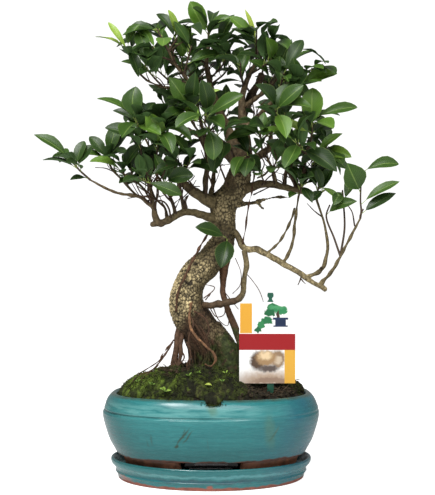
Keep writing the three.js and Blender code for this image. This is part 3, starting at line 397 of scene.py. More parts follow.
def mound(x, y):
    """Height of the soil: a flattened dome with a hollow under the label, a slighter one at
    the left, and low clods."""
    inside = np.maximum(0, 1 - oval_reach(x, y, MOUTH_HALF_WIDTH))
    dome = MOUND_RISE * inside ** 0.85
    hollow = 30 * np.exp(-((x - 62) ** 2 + (y + 48) ** 2) / 1300)
    hollow = hollow + 8 * np.exp(-((x + 72) ** 2 + y ** 2) / 1100)
    clods = 1.2 * np.sin(x / 7) * np.cos(y / 9)
    return RIM_TOP - 1 + dome - hollow * inside + clods * np.minimum(1, dome / 8)


def mossiness(x, y):
    """How mossy the ground is, 0 to 1: thick at the front and left, thin behind the label,
    bare at the left behind the roots and around the stake."""
    patch = 0.5 + 0.5 * waves(points_at(x, y, 0), 34, 5)
    front = 1 - rise(y, -30, 5)
    middle = 1 - rise(abs(x - 6), 26, 44)
    left = 1 - rise(x, -44, -26)
    label = np.exp(-((x - 66) ** 2 + (y + 46) ** 2) / 700)
    debris = np.exp(-((x + 50) ** 2 / 420 + (y + 20) ** 2 / 560))
    bare = 0.45 * rise(waves(points_at(x, y, 0), 17, 6), 0.35, 1.5)
    cover = 0.36 * patch + 0.55 * np.maximum(front * 0.9, middle) + 0.45 * left
    return np.clip(cover - 1.2 * label - 1.0 * debris - bare, 0, 1)


def moss_lumps(x, y):
    """Height of the moss's lumps, how far each spot is from the hollows between them, which the
    materials darken as painted shade, and a brightness that changes from lump to lump. The lumps are
    of two sizes, on a plan bent by waves so that no two are alike."""
    plan = points_at(x, y, 0)
    bent = plan + points_at(waves(plan, 11, 62), waves(plan, 11, 63), 0) * 2.2
    lumps, tone = pebbles(bent, 9.5)
    small, own = pebbles(bent + 90, 3.6)
    swell = waves(plan, 16, 56)
    height = lumps * 2.0 * (0.3 + tone) + small * 1.4 * (0.3 + own) + 1.5 * swell
    # Painted shade: hollows and low stretches of the swell get a low value, which the material darkens.
    hollow = rise(swell + 0.7 * waves(plan, 6, 64), -1.3, 0.1)
    return height, hollow * (0.25 + 0.75 * lumps) * (0.35 + 0.65 * small), 0.45 * tone + 0.55 * own


# --- paths and skins


def smooth_path(route, spacing):
    """A curve through route with a point each spacing: a cubic between each pair whose end
    slopes come from the neighbours, with knots the square root of the distance apart."""
    route = np.array(route, float)
    ghosts = np.vstack([2 * route[0] - route[1], route, 2 * route[-1] - route[-2]])
    step = np.sqrt(np.linalg.norm(np.diff(ghosts[:, :3], axis=0), axis=1))[:, None]
    slope = np.diff(ghosts, axis=0) / step
    across = (ghosts[2:] - ghosts[:-2]) / (step[1:] + step[:-1])
    tangent = slope[:-1] - across + slope[1:]
    t = np.linspace(0, 1, 24, endpoint=False)[None, :, None]
    gap = step[1:-1, None]
    start, end = route[:-1, None], route[1:, None]
    leave, arrive = tangent[:-1, None] * gap, tangent[1:, None] * gap
    curve = ((2 * t ** 3 - 3 * t ** 2 + 1) * start + (t ** 3 - 2 * t ** 2 + t) * leave
             + (3 * t ** 2 - 2 * t ** 3) * end + (t ** 3 - t ** 2) * arrive)
    fine = np.vstack([curve.reshape(-1, route.shape[1]), route[-1:]])
    run = np.concatenate([[0], np.cumsum(np.linalg.norm(np.diff(fine[:, :3], axis=0), axis=1))])
    places = np.linspace(0, run[-1], max(2, int(round(run[-1] / spacing))) + 1)
    return np.stack([np.interp(places, run, column) for column in fine.T], axis=1)


def unit(vectors):
    """The vectors at length 1."""
    return vectors / np.maximum(np.linalg.norm(vectors, axis=-1, keepdims=True), 1e-9)


def circle(count):
    """Count even angles round a circle."""
    return np.linspace(0, TAU, count, endpoint=False)


def grid_quads(rows, columns):
    """Quads between neighbouring rows of points, with the last column joined to the first."""
    index = np.arange(rows * columns).reshape(rows, columns)
    turned = np.roll(index, -1, axis=1)
    return np.stack([index[:-1], turned[:-1], turned[1:], index[1:]], axis=-1).reshape(-1, 4)


def closed_skin(rings, first, last):
    """A closed skin over rings of points, gathered to one point at each end."""
    rows, columns = rings.shape[:2]
    ring = np.arange(columns)
    turned = np.roll(ring, -1)
    top = (rows - 1) * columns
    start = np.stack([np.full(columns, rows * columns), turned, ring], axis=1)
    end = np.stack([np.full(columns, rows * columns + 1), top + ring, top + turned], axis=1)
    points = np.vstack([rings.reshape(-1, 3), [first, last]])
    return points, grid_quads(rows, columns), np.vstack([start, end])


def tube(route, sides, spacing):
    """A round limb: a circle of the route's radius carried along its smooth path."""
    path = smooth_path(route, spacing)
    centre, radius = path[:, :3], np.maximum(path[:, 3], 0.15)
    tangent = unit(np.gradient(centre, axis=0))
    steady = np.eye(3)[np.argmin(abs(tangent).max(axis=0))]
    normal = unit(steady - tangent * (tangent @ steady)[:, None])
    cross = np.cross(tangent, normal)
    angle = circle(sides)[None, :, None]
    ring = np.cos(angle) * normal[:, None] + np.sin(angle) * cross[:, None]
    rings = centre[:, None] + radius[:, None, None] * ring
    push = tangent[[0, -1]] * radius[[0, -1], None] * 0.6
    return closed_skin(rings, centre[0] - push[0], centre[-1] + push[1])


def turned_oval(profile, squareness, columns):
    """Rings of an oval vessel: each [half width r, height] is carried round the plan
    x = r k cos a, y = 0.78 r k sin a, where k = (|cos a|^n + |sin a|^n)^(-1/n)."""
    profile = np.array(profile, float)
    angle = circle(columns)
    across, along = np.cos(angle), np.sin(angle)
    spread = (abs(across) ** squareness + abs(along) ** squareness) ** (-1 / squareness)
    radius = profile[:, :1] * spread
    height = np.broadcast_to(profile[:, 1:2], radius.shape)
    return np.stack([radius * across, radius * along * PLAN_RATIO, height], axis=-1)


def profile_through(runs, spacing):
    """Chains smooth runs of [half width, height]; a corner stays sharp between two runs."""
    pieces = []
    for run in runs:
        flat = [(r, z, 0, 0) for r, z in run]
        pieces.append(smooth_path(flat, spacing)[:, :2])
    return np.vstack(pieces)


def joined(skins):
    """Several skins as one list of points, quads and triangles."""
    starts = np.cumsum([0] + [len(skin[0]) for skin in skins])
    points = np.vstack([skin[0] for skin in skins])
    quads = np.vstack([skin[1] + start for skin, start in zip(skins, starts)])
    triangles = np.vstack([skin[2] + start for skin, start in zip(skins, starts)])
    return points, quads, triangles


def repeated(copies, quads, triangles):
    """One skin over many copies of a small shape, given each copy's points in order."""
    count, size = copies.shape[:2]
    starts = size * np.arange(count)[:, None, None]
    return copies.reshape(-1, 3), (quads + starts).reshape(-1, 4), (triangles + starts).reshape(-1, 3)


# --- pieces


def make_mesh(name, skin):
    """Puts points in millimetres, quads and triangles into a smooth-shaded mesh in metres."""
    points, quads, triangles = skin
    corners = np.concatenate([quads.ravel(), triangles.ravel()]).astype(np.int32)
    starts = np.concatenate([4 * np.arange(len(quads)), 4 * len(quads) + 3 * np.arange(len(triangles))])
    mesh = bpy.data.meshes.new(name)
    mesh.vertices.add(len(points))
    mesh.vertices.foreach_set("co", (points * MM).astype(np.float32).ravel())
    mesh.loops.add(len(corners))
    mesh.loops.foreach_set("vertex_index", corners)
    mesh.polygons.add(len(starts))
    mesh.polygons.foreach_set("loop_start", starts.astype(np.int32))
    mesh.update(calc_edges=True)
    mesh.shade_smooth()
    return mesh


def add_values(mesh, **fields):
    """Stores one number per point under each name."""
    for name, values in fields.items():
        layer = mesh.attributes.new(name, "FLOAT", "POINT")
        layer.data.foreach_set("value", np.asarray(values, np.float32))


def add_object(name, data):
    """Puts a new object with this mesh, light or camera into the scene."""
    made = bpy.data.objects.new(name, data)
    bpy.context.scene.collection.objects.link(made)
    return made


def settle(mesh, material, stands_for=None):
    """Makes the mesh a piece of the tree that rides on the body and takes its finish."""
    mesh.materials.append(material)
    piece = add_object(mesh.name, mesh)
    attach(piece, "root")
    if stands_for:
        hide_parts(stands_for)
    return piece


def vectors_of(items, field):
    """One field of a mesh's vertices or normals, as rows of three numbers."""
    flat = np.empty(len(items) * 3, np.float32)
    items.foreach_get(field, flat)
    return flat.reshape(-1, 3).astype(float)


def points_of(mesh):
    """The mesh's points in millimetres."""
    return vectors_of(mesh.vertices, "co") / MM


def move_points(mesh, points):
    mesh.vertices.foreach_set("co", (points * MM).astype(np.float32).ravel())
    mesh.update()


def melted(name, skin, voxel, passes):
    """One skin over limbs that run into each other: remeshed to small even faces, then each
    point is drawn to the mean of its neighbours a few times, which fillets the forks."""
    raw = add_object(name, make_mesh(name, skin))
    remesh = raw.modifiers.new("skin", "REMESH")
    remesh.mode = "VOXEL"
    remesh.voxel_size = voxel * MM
    graph = bpy.context.evaluated_depsgraph_get()
    mesh = bpy.data.meshes.new_from_object(raw.evaluated_get(graph))
    spare = raw.data
    bpy.data.objects.remove(raw)
    bpy.data.meshes.remove(spare)
    mesh.name = name
    edges = np.empty(len(mesh.edges) * 2, np.int32)
    mesh.edges.foreach_get("vertices", edges)
    one, other = edges.reshape(-1, 2).T
    points = points_of(mesh)
    count = np.bincount(edges, minlength=len(points))[:, None]
    for _ in range(passes):
        total = np.stack([
            np.bincount(one, points[other, axis], len(points))
            + np.bincount(other, points[one, axis], len(points)) for axis in range(3)
        ], axis=1)
        points = 0.5 * points + 0.5 * total / count
    move_points(mesh, points)
    mesh.shade_smooth()
    return mesh


# --- materials


class Paint:
    """Short ways to add and join the nodes of one material or node group."""

    def __init__(self, tree):
        self.tree = tree

    def node(self, kind, inputs=None, **settings):
        made = self.tree.nodes.new(kind)
        for key, value in settings.items():
            setattr(made, key, value)
        for key, value in (inputs or {}).items():
            self.feed(made.inputs[key], value)
        return made

    def feed(self, socket, value):
        """Links a value that comes from a node into the socket, or sets a plain one there."""
        if isinstance(value, bpy.types.NodeSocket):
            self.tree.links.new(value, socket)
        elif isinstance(value, tuple) and socket.type == "RGBA":
            socket.default_value = (*value, 1)
        else:
            socket.default_value = value

    def place(self):
        return self.node("ShaderNodeTexCoord").outputs["Object"]

    def moved(self, vector, location=(0, 0, 0), rotation=(0, 0, 0), scale=(1, 1, 1), kind="POINT"):
        inputs = {"Vector": vector, "Location": location, "Rotation": rotation, "Scale": scale}
        return self.node("ShaderNodeMapping", inputs, vector_type=kind).outputs["Vector"]

    def noise(self, vector, scale, detail=3.0, roughness=0.55):
        inputs = {"Vector": vector, "Scale": scale, "Detail": detail, "Roughness": roughness}
        return self.node("ShaderNodeTexNoise", inputs).outputs["Fac"]

    def math(self, operation, a, b=0.5):
        return self.node("ShaderNodeMath", {0: a, 1: b}, operation=operation).outputs[0]

    times = partialmethod(math, "MULTIPLY")
    plus = partialmethod(math, "ADD")
    minus = partialmethod(math, "SUBTRACT")
    larger = partialmethod(math, "MAXIMUM")
    absolute = partialmethod(math, "ABSOLUTE")

    def ramp(self, value, low, high, start=0.0, end=1.0):
        inputs = {"Value": value, "From Min": low, "From Max": high, "To Min": start, "To Max": end}
        return self.node("ShaderNodeMapRange", inputs, interpolation_type="SMOOTHSTEP").outputs["Result"]

    def fade(self, value, low, high):
        return self.ramp(value, low, high, 1.0, 0.0)

    def mix(self, factor, a, b, blend="MIX"):
        made = self.node("ShaderNodeMix", data_type="RGBA", blend_type=blend)
        for index, value in ((0, factor), (6, a), (7, b)):
            self.feed(made.inputs[index], value)
        return made.outputs[2]

    def darkened(self, colour, share):
        """The colour times a share that changes over the surface."""
        grey = self.node("ShaderNodeCombineColor", {0: share, 1: share, 2: share}).outputs[0]
        return self.mix(1.0, colour, grey, "MULTIPLY")

    def field(self, name):
        return self.node("ShaderNodeAttribute", attribute_name=name).outputs["Fac"]

    def bump(self, height, strength, distance):
        inputs = {"Height": height, "Strength": strength, "Distance": distance}
        return self.node("ShaderNodeBump", inputs).outputs["Normal"]

    def parts(self, vector):
        return self.node("ShaderNodeSeparateXYZ", {0: vector}).outputs

    def use(self, group, **inputs):
        made = self.node("ShaderNodeGroup", node_tree=group)
        for key, value in inputs.items():
            self.feed(made.inputs[key.replace("_", " ")], value)
        return made.outputs


def new_group(name, inputs, outputs):
    """A shader node group with named sockets; returns it with its paint, inlet and outlet."""
    group = bpy.data.node_groups.new(name, "ShaderNodeTree")
    for socket, kind in inputs.items():
        group.interface.new_socket(socket, in_out="INPUT", socket_type="NodeSocket" + kind)
    for socket, kind in outputs.items():
        group.interface.new_socket(socket, in_out="OUTPUT", socket_type="NodeSocket" + kind)
    inlet = group.nodes.new("NodeGroupInput")
    outlet = group.nodes.new("NodeGroupOutput")
    return group, Paint(group), inlet.outputs, outlet.inputs


def mottle_group():
    """Two colours mixed in soft blotches: a layered noise, sharpened by Contrast."""
    inputs = {"Vector": "Vector", "Scale": "Float", "Contrast": "Float", "Dark": "Color", "Light": "Color"}
    group, paint, inlet, outlet = new_group("mottle", inputs, {"Color": "Color", "Mask": "Float"})
    noise = paint.noise(inlet["Vector"], inlet["Scale"], 4.0, 0.6)
    centred = paint.minus(noise, 0.5)
    scaled = paint.times(centred, inlet["Contrast"])
    mask = paint.node("ShaderNodeClamp", {0: paint.plus(scaled, 0.5)}).outputs[0]
    group.links.new(mask, outlet["Mask"])
    group.links.new(paint.mix(mask, inlet["Dark"], inlet["Light"]), outlet["Color"])
    return group


def patch_group():
    """Masks of a block and of an oval around the vector's origin, in its X and Z: 1 inside
    the half sizes and 0 outside them, with a soft edge."""
    inputs = {"Vector": "Vector", "Half Width": "Float", "Half Height": "Float", "Softness": "Float"}
    group, paint, inlet, outlet = new_group("patch", inputs, {"Block": "Float", "Oval": "Float"})
    place = paint.parts(inlet["Vector"])
    across = paint.math("DIVIDE", paint.absolute(place["X"]), inlet["Half Width"])
    up = paint.math("DIVIDE", paint.absolute(place["Z"]), inlet["Half Height"])
    squares = paint.plus(paint.math("POWER", across, 2.0), paint.math("POWER", up, 2.0))
    from_middle = paint.math("SQRT", squares)
    low = paint.minus(1.0, inlet["Softness"])
    high = paint.plus(1.0, inlet["Softness"])
    for reach, name in ((paint.larger(across, up), "Block"), (from_middle, "Oval")):
        edge = paint.fade(reach, low, high)
        group.links.new(edge, outlet[name])
    return group


MOTTLE = mottle_group()
PATCH = patch_group()


def mottled(paint, vector, scale, contrast, dark, light):
    """The mottle group's outputs, placed in a material with its own values."""
    return paint.use(MOTTLE, Vector=vector, Scale=scale, Contrast=contrast, Dark=dark, Light=light)


def new_material(name, specular, **constants):
    """A material with its Principled shader; the constants go straight onto its sockets."""
    material = bpy.data.materials.new(name)
    material.use_nodes = True
    shader = material.node_tree.nodes["Principled BSDF"]
    shader.inputs["Specular IOR Level"].default_value = specular
    for key, value in constants.items():
        shader.inputs[key.replace("_", " ")].default_value = value
    return material, Paint(material.node_tree), shader


def connect(paint, shader, **sources):
    """Links each source to the shader's socket of its name."""
    for key, source in sources.items():
        paint.tree.links.new(source, shader.inputs[key.replace("_", " ")])


def stroke(paint, vector, start, end, width, softness=0.6):
    """Mask of a straight soft stroke between two points (x, z) of the front."""
    (x0, z0), (x1, z1) = start, end
    slope = math.atan2(z1 - z0, x1 - x0)
    centre = ((x0 + x1) / 2 * MM, 0, (z0 + z1) / 2 * MM)
    local = paint.moved(vector, centre, (0, -slope, 0), kind="TEXTURE")
    half = math.hypot(x1 - x0, z1 - z0) / 2
    mask = paint.use(PATCH, Vector=local, Half_Width=half * MM, Half_Height=width * MM, Softness=softness)
    return mask["Oval"]


def wandering(paint, vector, scale, amount):
    """The place pushed about by a noise, so that a drawn mark isn't straight."""
    noise = paint.node("ShaderNodeTexNoise", {"Vector": vector, "Scale": scale, "Detail": 2.0})
    middle = {0: noise.outputs["Color"], 1: (0.5, 0.5, 0.5)}
    centred = paint.node("ShaderNodeVectorMath", middle, operation="SUBTRACT").outputs[0]
    push = paint.node("ShaderNodeVectorMath", {0: centred, "Scale": amount}, operation="SCALE").outputs[0]
    return paint.node("ShaderNodeVectorMath", {0: vector, 1: push}, operation="ADD").outputs[0]


def well_shade_and_reflection_masks(paint, place):
    """Masks of the painted shade in the well in the middle of the saucer's floor and of two level stripes of
    painted reflection across it.
    """
    parts = paint.parts(place)
    across, deep = paint.absolute(parts["X"]), paint.absolute(parts["Y"])
    well = paint.times(paint.fade(across, 0.05, 0.06), paint.fade(deep, 0.055, 0.065))
    well = paint.times(well, paint.fade(parts["Z"], 0.015, 0.017))
    wavering = paint.parts(wandering(paint, place, 50.0, 0.005))["Y"]
    reflection_stripes = 0.0
    for y, half_width, half_length in ((0.001, 0.006, 0.019), (-0.0215, 0.0045, 0.024)):
        beside = paint.absolute(paint.minus(wavering, y))
        line = paint.times(paint.fade(beside, 0.6 * half_width, half_width),
                           paint.fade(across, 0.85 * half_length, half_length))
        reflection_stripes = paint.larger(reflection_stripes, line)
    return well, reflection_stripes


def glaze_material(name, foot_height, foot_colour, marks, painted_well_light=False):
    """Turquoise glaze: level streaks of two tones, a painted highlight in streaks on the shoulder,
    painted shade towards the oval's ends and the bottom, blue where it pools, a bare clay edge up
    to foot_height, and marks, which are (start, end, width, colour, strength) strokes. Where asked
    for, the well in the middle of the floor gets painted shade, near black, with two pale stripes
    of painted reflection across it."""
    material, paint, shader = new_material(name, 0.36, Coat_Roughness=0.05)
    place = paint.place()
    streaked = paint.moved(place, scale=(1, 1, 9))
    base = mottled(paint, streaked, 16.0, 2.6, (0.010, 0.124, 0.130), (0.024, 0.204, 0.204))
    fine = mottled(paint, streaked, 95.0, 2.2, (0.010, 0.118, 0.136), (0.030, 0.225, 0.226))
    colour = paint.mix(0.42, base["Color"], fine["Color"])
    parts = paint.parts(place)
    # Painted highlight: pale streaks on the shoulder stand in for a soft light's reflection. They are
    # strongest at the left and middle and fade under the rim.
    shoulder = paint.times(paint.ramp(parts["Z"], 0.070, 0.080),
                           paint.ramp(parts["X"], 0.010, 0.075, 1.0, 0.15))
    shoulder = paint.times(shoulder, paint.fade(parts["Z"], 0.084, 0.092))
    painted_highlight = paint.times(shoulder, paint.ramp(paint.noise(streaked, 30.0), 0.3, 0.62))
    colour = paint.mix(paint.times(painted_highlight, 0.62), colour, (0.15, 0.38, 0.365))
    # Painted shade: the glaze darkens towards the bottom and towards the oval's two ends. Nothing below 18
    # mm is darkened.
    lower = paint.ramp(parts["Z"], 0.026, 0.062, 0.70, 1.0)
    ends = paint.ramp(paint.absolute(parts["X"]), 0.060, 0.118, 1.0, 0.72)
    painted_side_and_low_shade = paint.larger(paint.times(lower, ends), paint.fade(parts["Z"], 0.018, 0.026))
    colour = paint.darkened(colour, painted_side_and_low_shade)
    pools = mottled(paint, place, 19.0, 3.4, (0, 0, 0), (1, 1, 1))
    side = paint.ramp(parts["X"], 0.02, 0.11)
    pooled = paint.times(pools["Mask"], paint.times(side, 0.5))
    colour = paint.mix(pooled, colour, (0.014, 0.10, 0.17))
    loose = wandering(paint, place, 90.0, 0.006)
    for start, end, width, tint, strength in marks:
        mask = stroke(paint, loose, start, end, width)
        colour = paint.mix(paint.times(mask, strength), colour, tint)
    soiled = paint.times(paint.ramp(parts["Z"], 0.0910, 0.0940), paint.noise(place, 90.0))
    colour = paint.mix(paint.times(soiled, 1.3), colour, (0.035, 0.050, 0.024))
    if painted_well_light:
        # Painted shade and reflection: the well under the pot is painted near black, and two near-white
        # stripes across it stand in for reflections.
        well, reflection_stripes = well_shade_and_reflection_masks(paint, place)
        colour = paint.mix(paint.times(well, 0.9), colour, (0.006, 0.008, 0.008))
        colour = paint.mix(paint.times(reflection_stripes, well), colour, (0.90, 0.94, 0.96))
        shiny = paint.minus(1.0, paint.times(well, paint.minus(1.0, reflection_stripes)))
        connect(paint, shader, Specular_IOR_Level=paint.times(shiny, 0.5))
    ragged = wandering(paint, place, 60.0, 0.006)
    foot = paint.fade(paint.parts(ragged)["Z"], foot_height * MM, (foot_height + 1.6) * MM)
    clay = mottled(paint, place, 130.0, 2.0, *foot_colour)
    colour = paint.mix(foot, colour, clay["Color"])
    wet = paint.ramp(fine["Mask"], 0.0, 1.0, 0.20, 0.32)
    rough = paint.larger(wet, paint.times(foot, 0.7))
    shine = paint.ramp(foot, 0.0, 1.0, 0.2, 0.0)
    height = paint.plus(fine["Mask"], paint.noise(place, 420.0))
    connect(paint, shader, Base_Color=colour, Roughness=rough, Coat_Weight=shine,
            Normal=paint.bump(height, 0.06, 0.0005))
    return material


def bark_material(name, dark, light, crack, cream, fine_scale):
    """Bark: cells of cream in the pale field, fully cream at the left as a painted highlight, cracks of
    crack colour between them, darkened further by painted shade, elsewhere blotches of dark and light
    with small pale pores."""
    material, paint, shader = new_material(name, 0.3)
    place = paint.place()
    cell, pale, tone = paint.field("cell"), paint.field("pale"), paint.field("tone")
    skin = mottled(paint, place, fine_scale, 2.6, dark, light)
    broad = mottled(paint, place, 28.0, 2.4, (0.62, 0.6, 0.58), (1.15, 1.12, 1.05))
    plain = paint.mix(1.0, skin["Color"], broad["Color"], "MULTIPLY")
    cream_with_lit_side = paint.mix(tone, tuple(0.42 * c for c in cream), tuple(1.18 * c for c in cream))
    # Painted highlight: the cream cells turn fully cream towards the left, the side the light comes from.
    lit_side = paint.ramp(paint.parts(place)["X"], -0.046, -0.030, 0.45, 0.0)
    cream_with_lit_side = paint.mix(lit_side, cream_with_lit_side, cream)
    rusty = paint.mix(skin["Mask"], (0.022, 0.012, 0.007), (0.084, 0.044, 0.023))
    plain = paint.mix(paint.times(paint.field("red"), 0.85), plain, rusty)
    patchy = paint.mix(paint.times(skin["Mask"], 0.35), cream_with_lit_side, light)
    cells = paint.mix(cell, crack, patchy)
    colour = paint.mix(pale, plain, cells)
    # Painted shade: the colour is darkened to half in the cracks, where the cell field is low.
    deep = paint.ramp(cell, 0.0, 0.6, 0.5, 1.0)
    colour = paint.darkened(colour, deep)
    creeping = paint.times(paint.field("green"), paint.ramp(paint.noise(place, 160.0), 0.30, 0.5))
    mossy = paint.mix(skin["Mask"], (0.010, 0.015, 0.004), (0.048, 0.070, 0.012))
    colour = paint.mix(creeping, colour, mossy)
    height = paint.plus(skin["Mask"], paint.noise(place, fine_scale * 3.1))
    rough = paint.ramp(skin["Mask"], 0.0, 1.0, 0.86, 0.66)
    connect(paint, shader, Base_Color=colour, Roughness=rough, Normal=paint.bump(height, 0.5, 0.0007))
    return material


def leaf_material():
    """A leathery leaf: green by the leaf's own tone, a pale midrib and faint side veins from
    the blade's own map, a dull pale underside, and bark on the twigs."""
    material, paint, shader = new_material("leaf", 0.27)
    place = paint.place()
    blade = paint.node("ShaderNodeUVMap", uv_map="blade").outputs[0]
    axes = paint.parts(blade)
    tone = paint.field("tone")
    ramp = paint.node("ShaderNodeValToRGB", {0: paint.math("DIVIDE", tone, 4.0)})
    stops = ((0.0, (0.014, 0.036, 0.007)), (0.25, (0.033, 0.079, 0.011)), (0.5, (0.078, 0.165, 0.018)),
             (0.75, (0.24, 0.36, 0.05)), (1.0, (0.60, 0.55, 0.08)))
    ramp.color_ramp.elements[1].position = 1.0
    for position, colour in stops[1:-1]:
        ramp.color_ramp.elements.new(position)
    for element, (position, colour) in zip(ramp.color_ramp.elements, stops):
        element.color = (*colour, 1)
    green = ramp.outputs["Color"]
    blotch = mottled(paint, place, 70.0, 1.8, (0.78, 0.82, 0.8), (1.22, 1.16, 1.2))
    green = paint.mix(1.0, green, blotch["Color"], "MULTIPLY")
    under = paint.math("GREATER_THAN", axes["X"], 1.0)
    across = paint.absolute(paint.minus(paint.minus(axes["X"], under), 0.5))
    rib = paint.fade(across, 0.012, 0.045)
    slant = paint.minus(paint.times(axes["Y"], 13.0), paint.times(across, 9.0))
    comb = paint.absolute(paint.minus(paint.math("FRACT", slant), 0.5))
    veins = paint.fade(comb, 0.03, 0.14)
    pale = paint.mix(0.5, green, (0.30, 0.42, 0.10))
    green = paint.mix(paint.times(veins, 0.16), green, pale)
    green = paint.mix(paint.times(rib, paint.ramp(tone, 0.0, 1.2, 0.25, 0.7)), green, pale)
    edge = paint.ramp(across, 0.455, 0.5, 0.0, 0.5)
    green = paint.mix(edge, green, pale)
    dull = paint.mix(0.42, green, (0.10, 0.20, 0.06))
    green = paint.mix(under, green, dull)
    stalk = paint.math("LESS_THAN", axes["Y"], -0.25)
    green = paint.mix(stalk, green, (0.26, 0.34, 0.08))
    twig = paint.math("LESS_THAN", axes["Y"], -1.0)
    wood = mottled(paint, place, 420.0, 2.2, (0.022, 0.015, 0.009), (0.088, 0.056, 0.034))
    colour = paint.mix(twig, green, wood["Color"])
    waxy = paint.ramp(blotch["Mask"], 0.0, 1.0, 0.30, 0.44)
    rough = paint.larger(waxy, paint.times(paint.larger(under, twig), 0.68))
    height = paint.plus(paint.times(veins, -0.5), paint.times(rib, -1.0))
    connect(paint, shader, Base_Color=colour, Roughness=rough, Normal=paint.bump(height, 0.22, 0.0005))
    return material


def ground_material(name, dark, light):
    """Crumbly soil that turns to moss where the mesh's moss field says, with painted shade in the gaps
    between its lumps, where the cell field is 0."""
    material, paint, shader = new_material(name, 0.25)
    place = paint.place()
    moss, tone = paint.field("moss"), paint.field("tone")
    earth = mottled(paint, place, 260.0, 3.2, dark, light)
    green = mottled(paint, place, 190.0, 3.4, (0.005, 0.007, 0.002), (0.062, 0.086, 0.012))
    patch = mottled(paint, place, 38.0, 3.0, (0.5, 0.52, 0.5), (1.3, 1.25, 1.1))
    lush = paint.mix(1.0, green["Color"], patch["Color"], "MULTIPLY")
    lush = paint.mix(paint.math("MINIMUM", paint.times(tone, 0.7), 1.0), lush, (0.155, 0.235, 0.026))
    speck = paint.noise(place, 330.0)
    cover = paint.ramp(paint.plus(moss, paint.times(speck, 0.5)), 0.52, 0.85)
    colour = paint.mix(cover, earth["Color"], lush)
    # Painted shade: near black where the cell field is low, in the gaps between lumps.
    gap_shade = paint.mix(0.86, colour, (0.005, 0.004, 0.002))
    colour = paint.mix(paint.ramp(paint.field("cell"), 0.0, 0.8), gap_shade, colour)
    height = paint.plus(earth["Mask"], green["Mask"])
    connect(paint, shader, Base_Color=colour, Roughness=paint.ramp(earth["Mask"], 0.0, 1.0, 0.95, 0.75),
            Normal=paint.bump(height, 0.6, 0.0012))
    return material


def card_material():
    """A printed plant label: plain yellow and red blocks, a soft print of smooth brown
    stones and a small plain motif of a tree in a pot, on white board. The back is bare."""
    material, paint, shader = new_material("card", 0.4)
    place = paint.place()
    axes = paint.parts(place)
    front = paint.math("LESS_THAN", axes["Y"], CARD_MIDDLE * MM)
    grain = mottled(paint, place, 600.0, 1.0, (0.86, 0.86, 0.84), (0.93, 0.93, 0.91))
    colour = grain["Color"]
    loose = wandering(paint, place, 260.0, 0.006)
    for kind, (x0, x1, z0, z1), tint, softness in CARD_AREAS:
        source = place if kind == "Block" else loose
        local = paint.moved(source, ((x0 + x1) / 2 * MM, 0, (z0 + z1) / 2 * MM), kind="TEXTURE")
        mask = paint.use(PATCH, Vector=local, Half_Width=(x1 - x0) / 2 * MM, Half_Height=(z1 - z0) / 2 * MM,
                         Softness=softness)[kind]
        colour = paint.mix(paint.times(mask, front), colour, tint)
    connect(paint, shader, Base_Color=colour, Roughness=paint.ramp(grain["Mask"], 0.0, 1.0, 0.28, 0.4))
    return material


def plastic_material(name, dark, light, roughness):
    """Moulded plastic: two near tones in fine blotches over a slight orange-peel."""
    material, paint, shader = new_material(name, 0.45)
    place = paint.place()
    skin = mottled(paint, place, 210.0, 1.5, dark, light)
    rough = paint.ramp(skin["Mask"], 0.0, 1.0, roughness, roughness + 0.12)
    connect(paint, shader, Base_Color=skin["Color"], Roughness=rough,
            Normal=paint.bump(skin["Mask"], 0.15, 0.0003))
    return material


def clay_material():
    """Dark brown clay of the pot's feet, wet-looking in places."""
    material, paint, shader = new_material("foot clay", 0.4)
    place = paint.place()
    clay = mottled(paint, place, 85.0, 2.6, (0.07, 0.034, 0.02), (0.30, 0.12, 0.062))
    grit = paint.noise(place, 900.0)
    connect(paint, shader, Base_Color=clay["Color"], Roughness=paint.ramp(clay["Mask"], 0.0, 1.0, 0.3, 0.7),
            Normal=paint.bump(grit, 0.3, 0.0005))
    return material


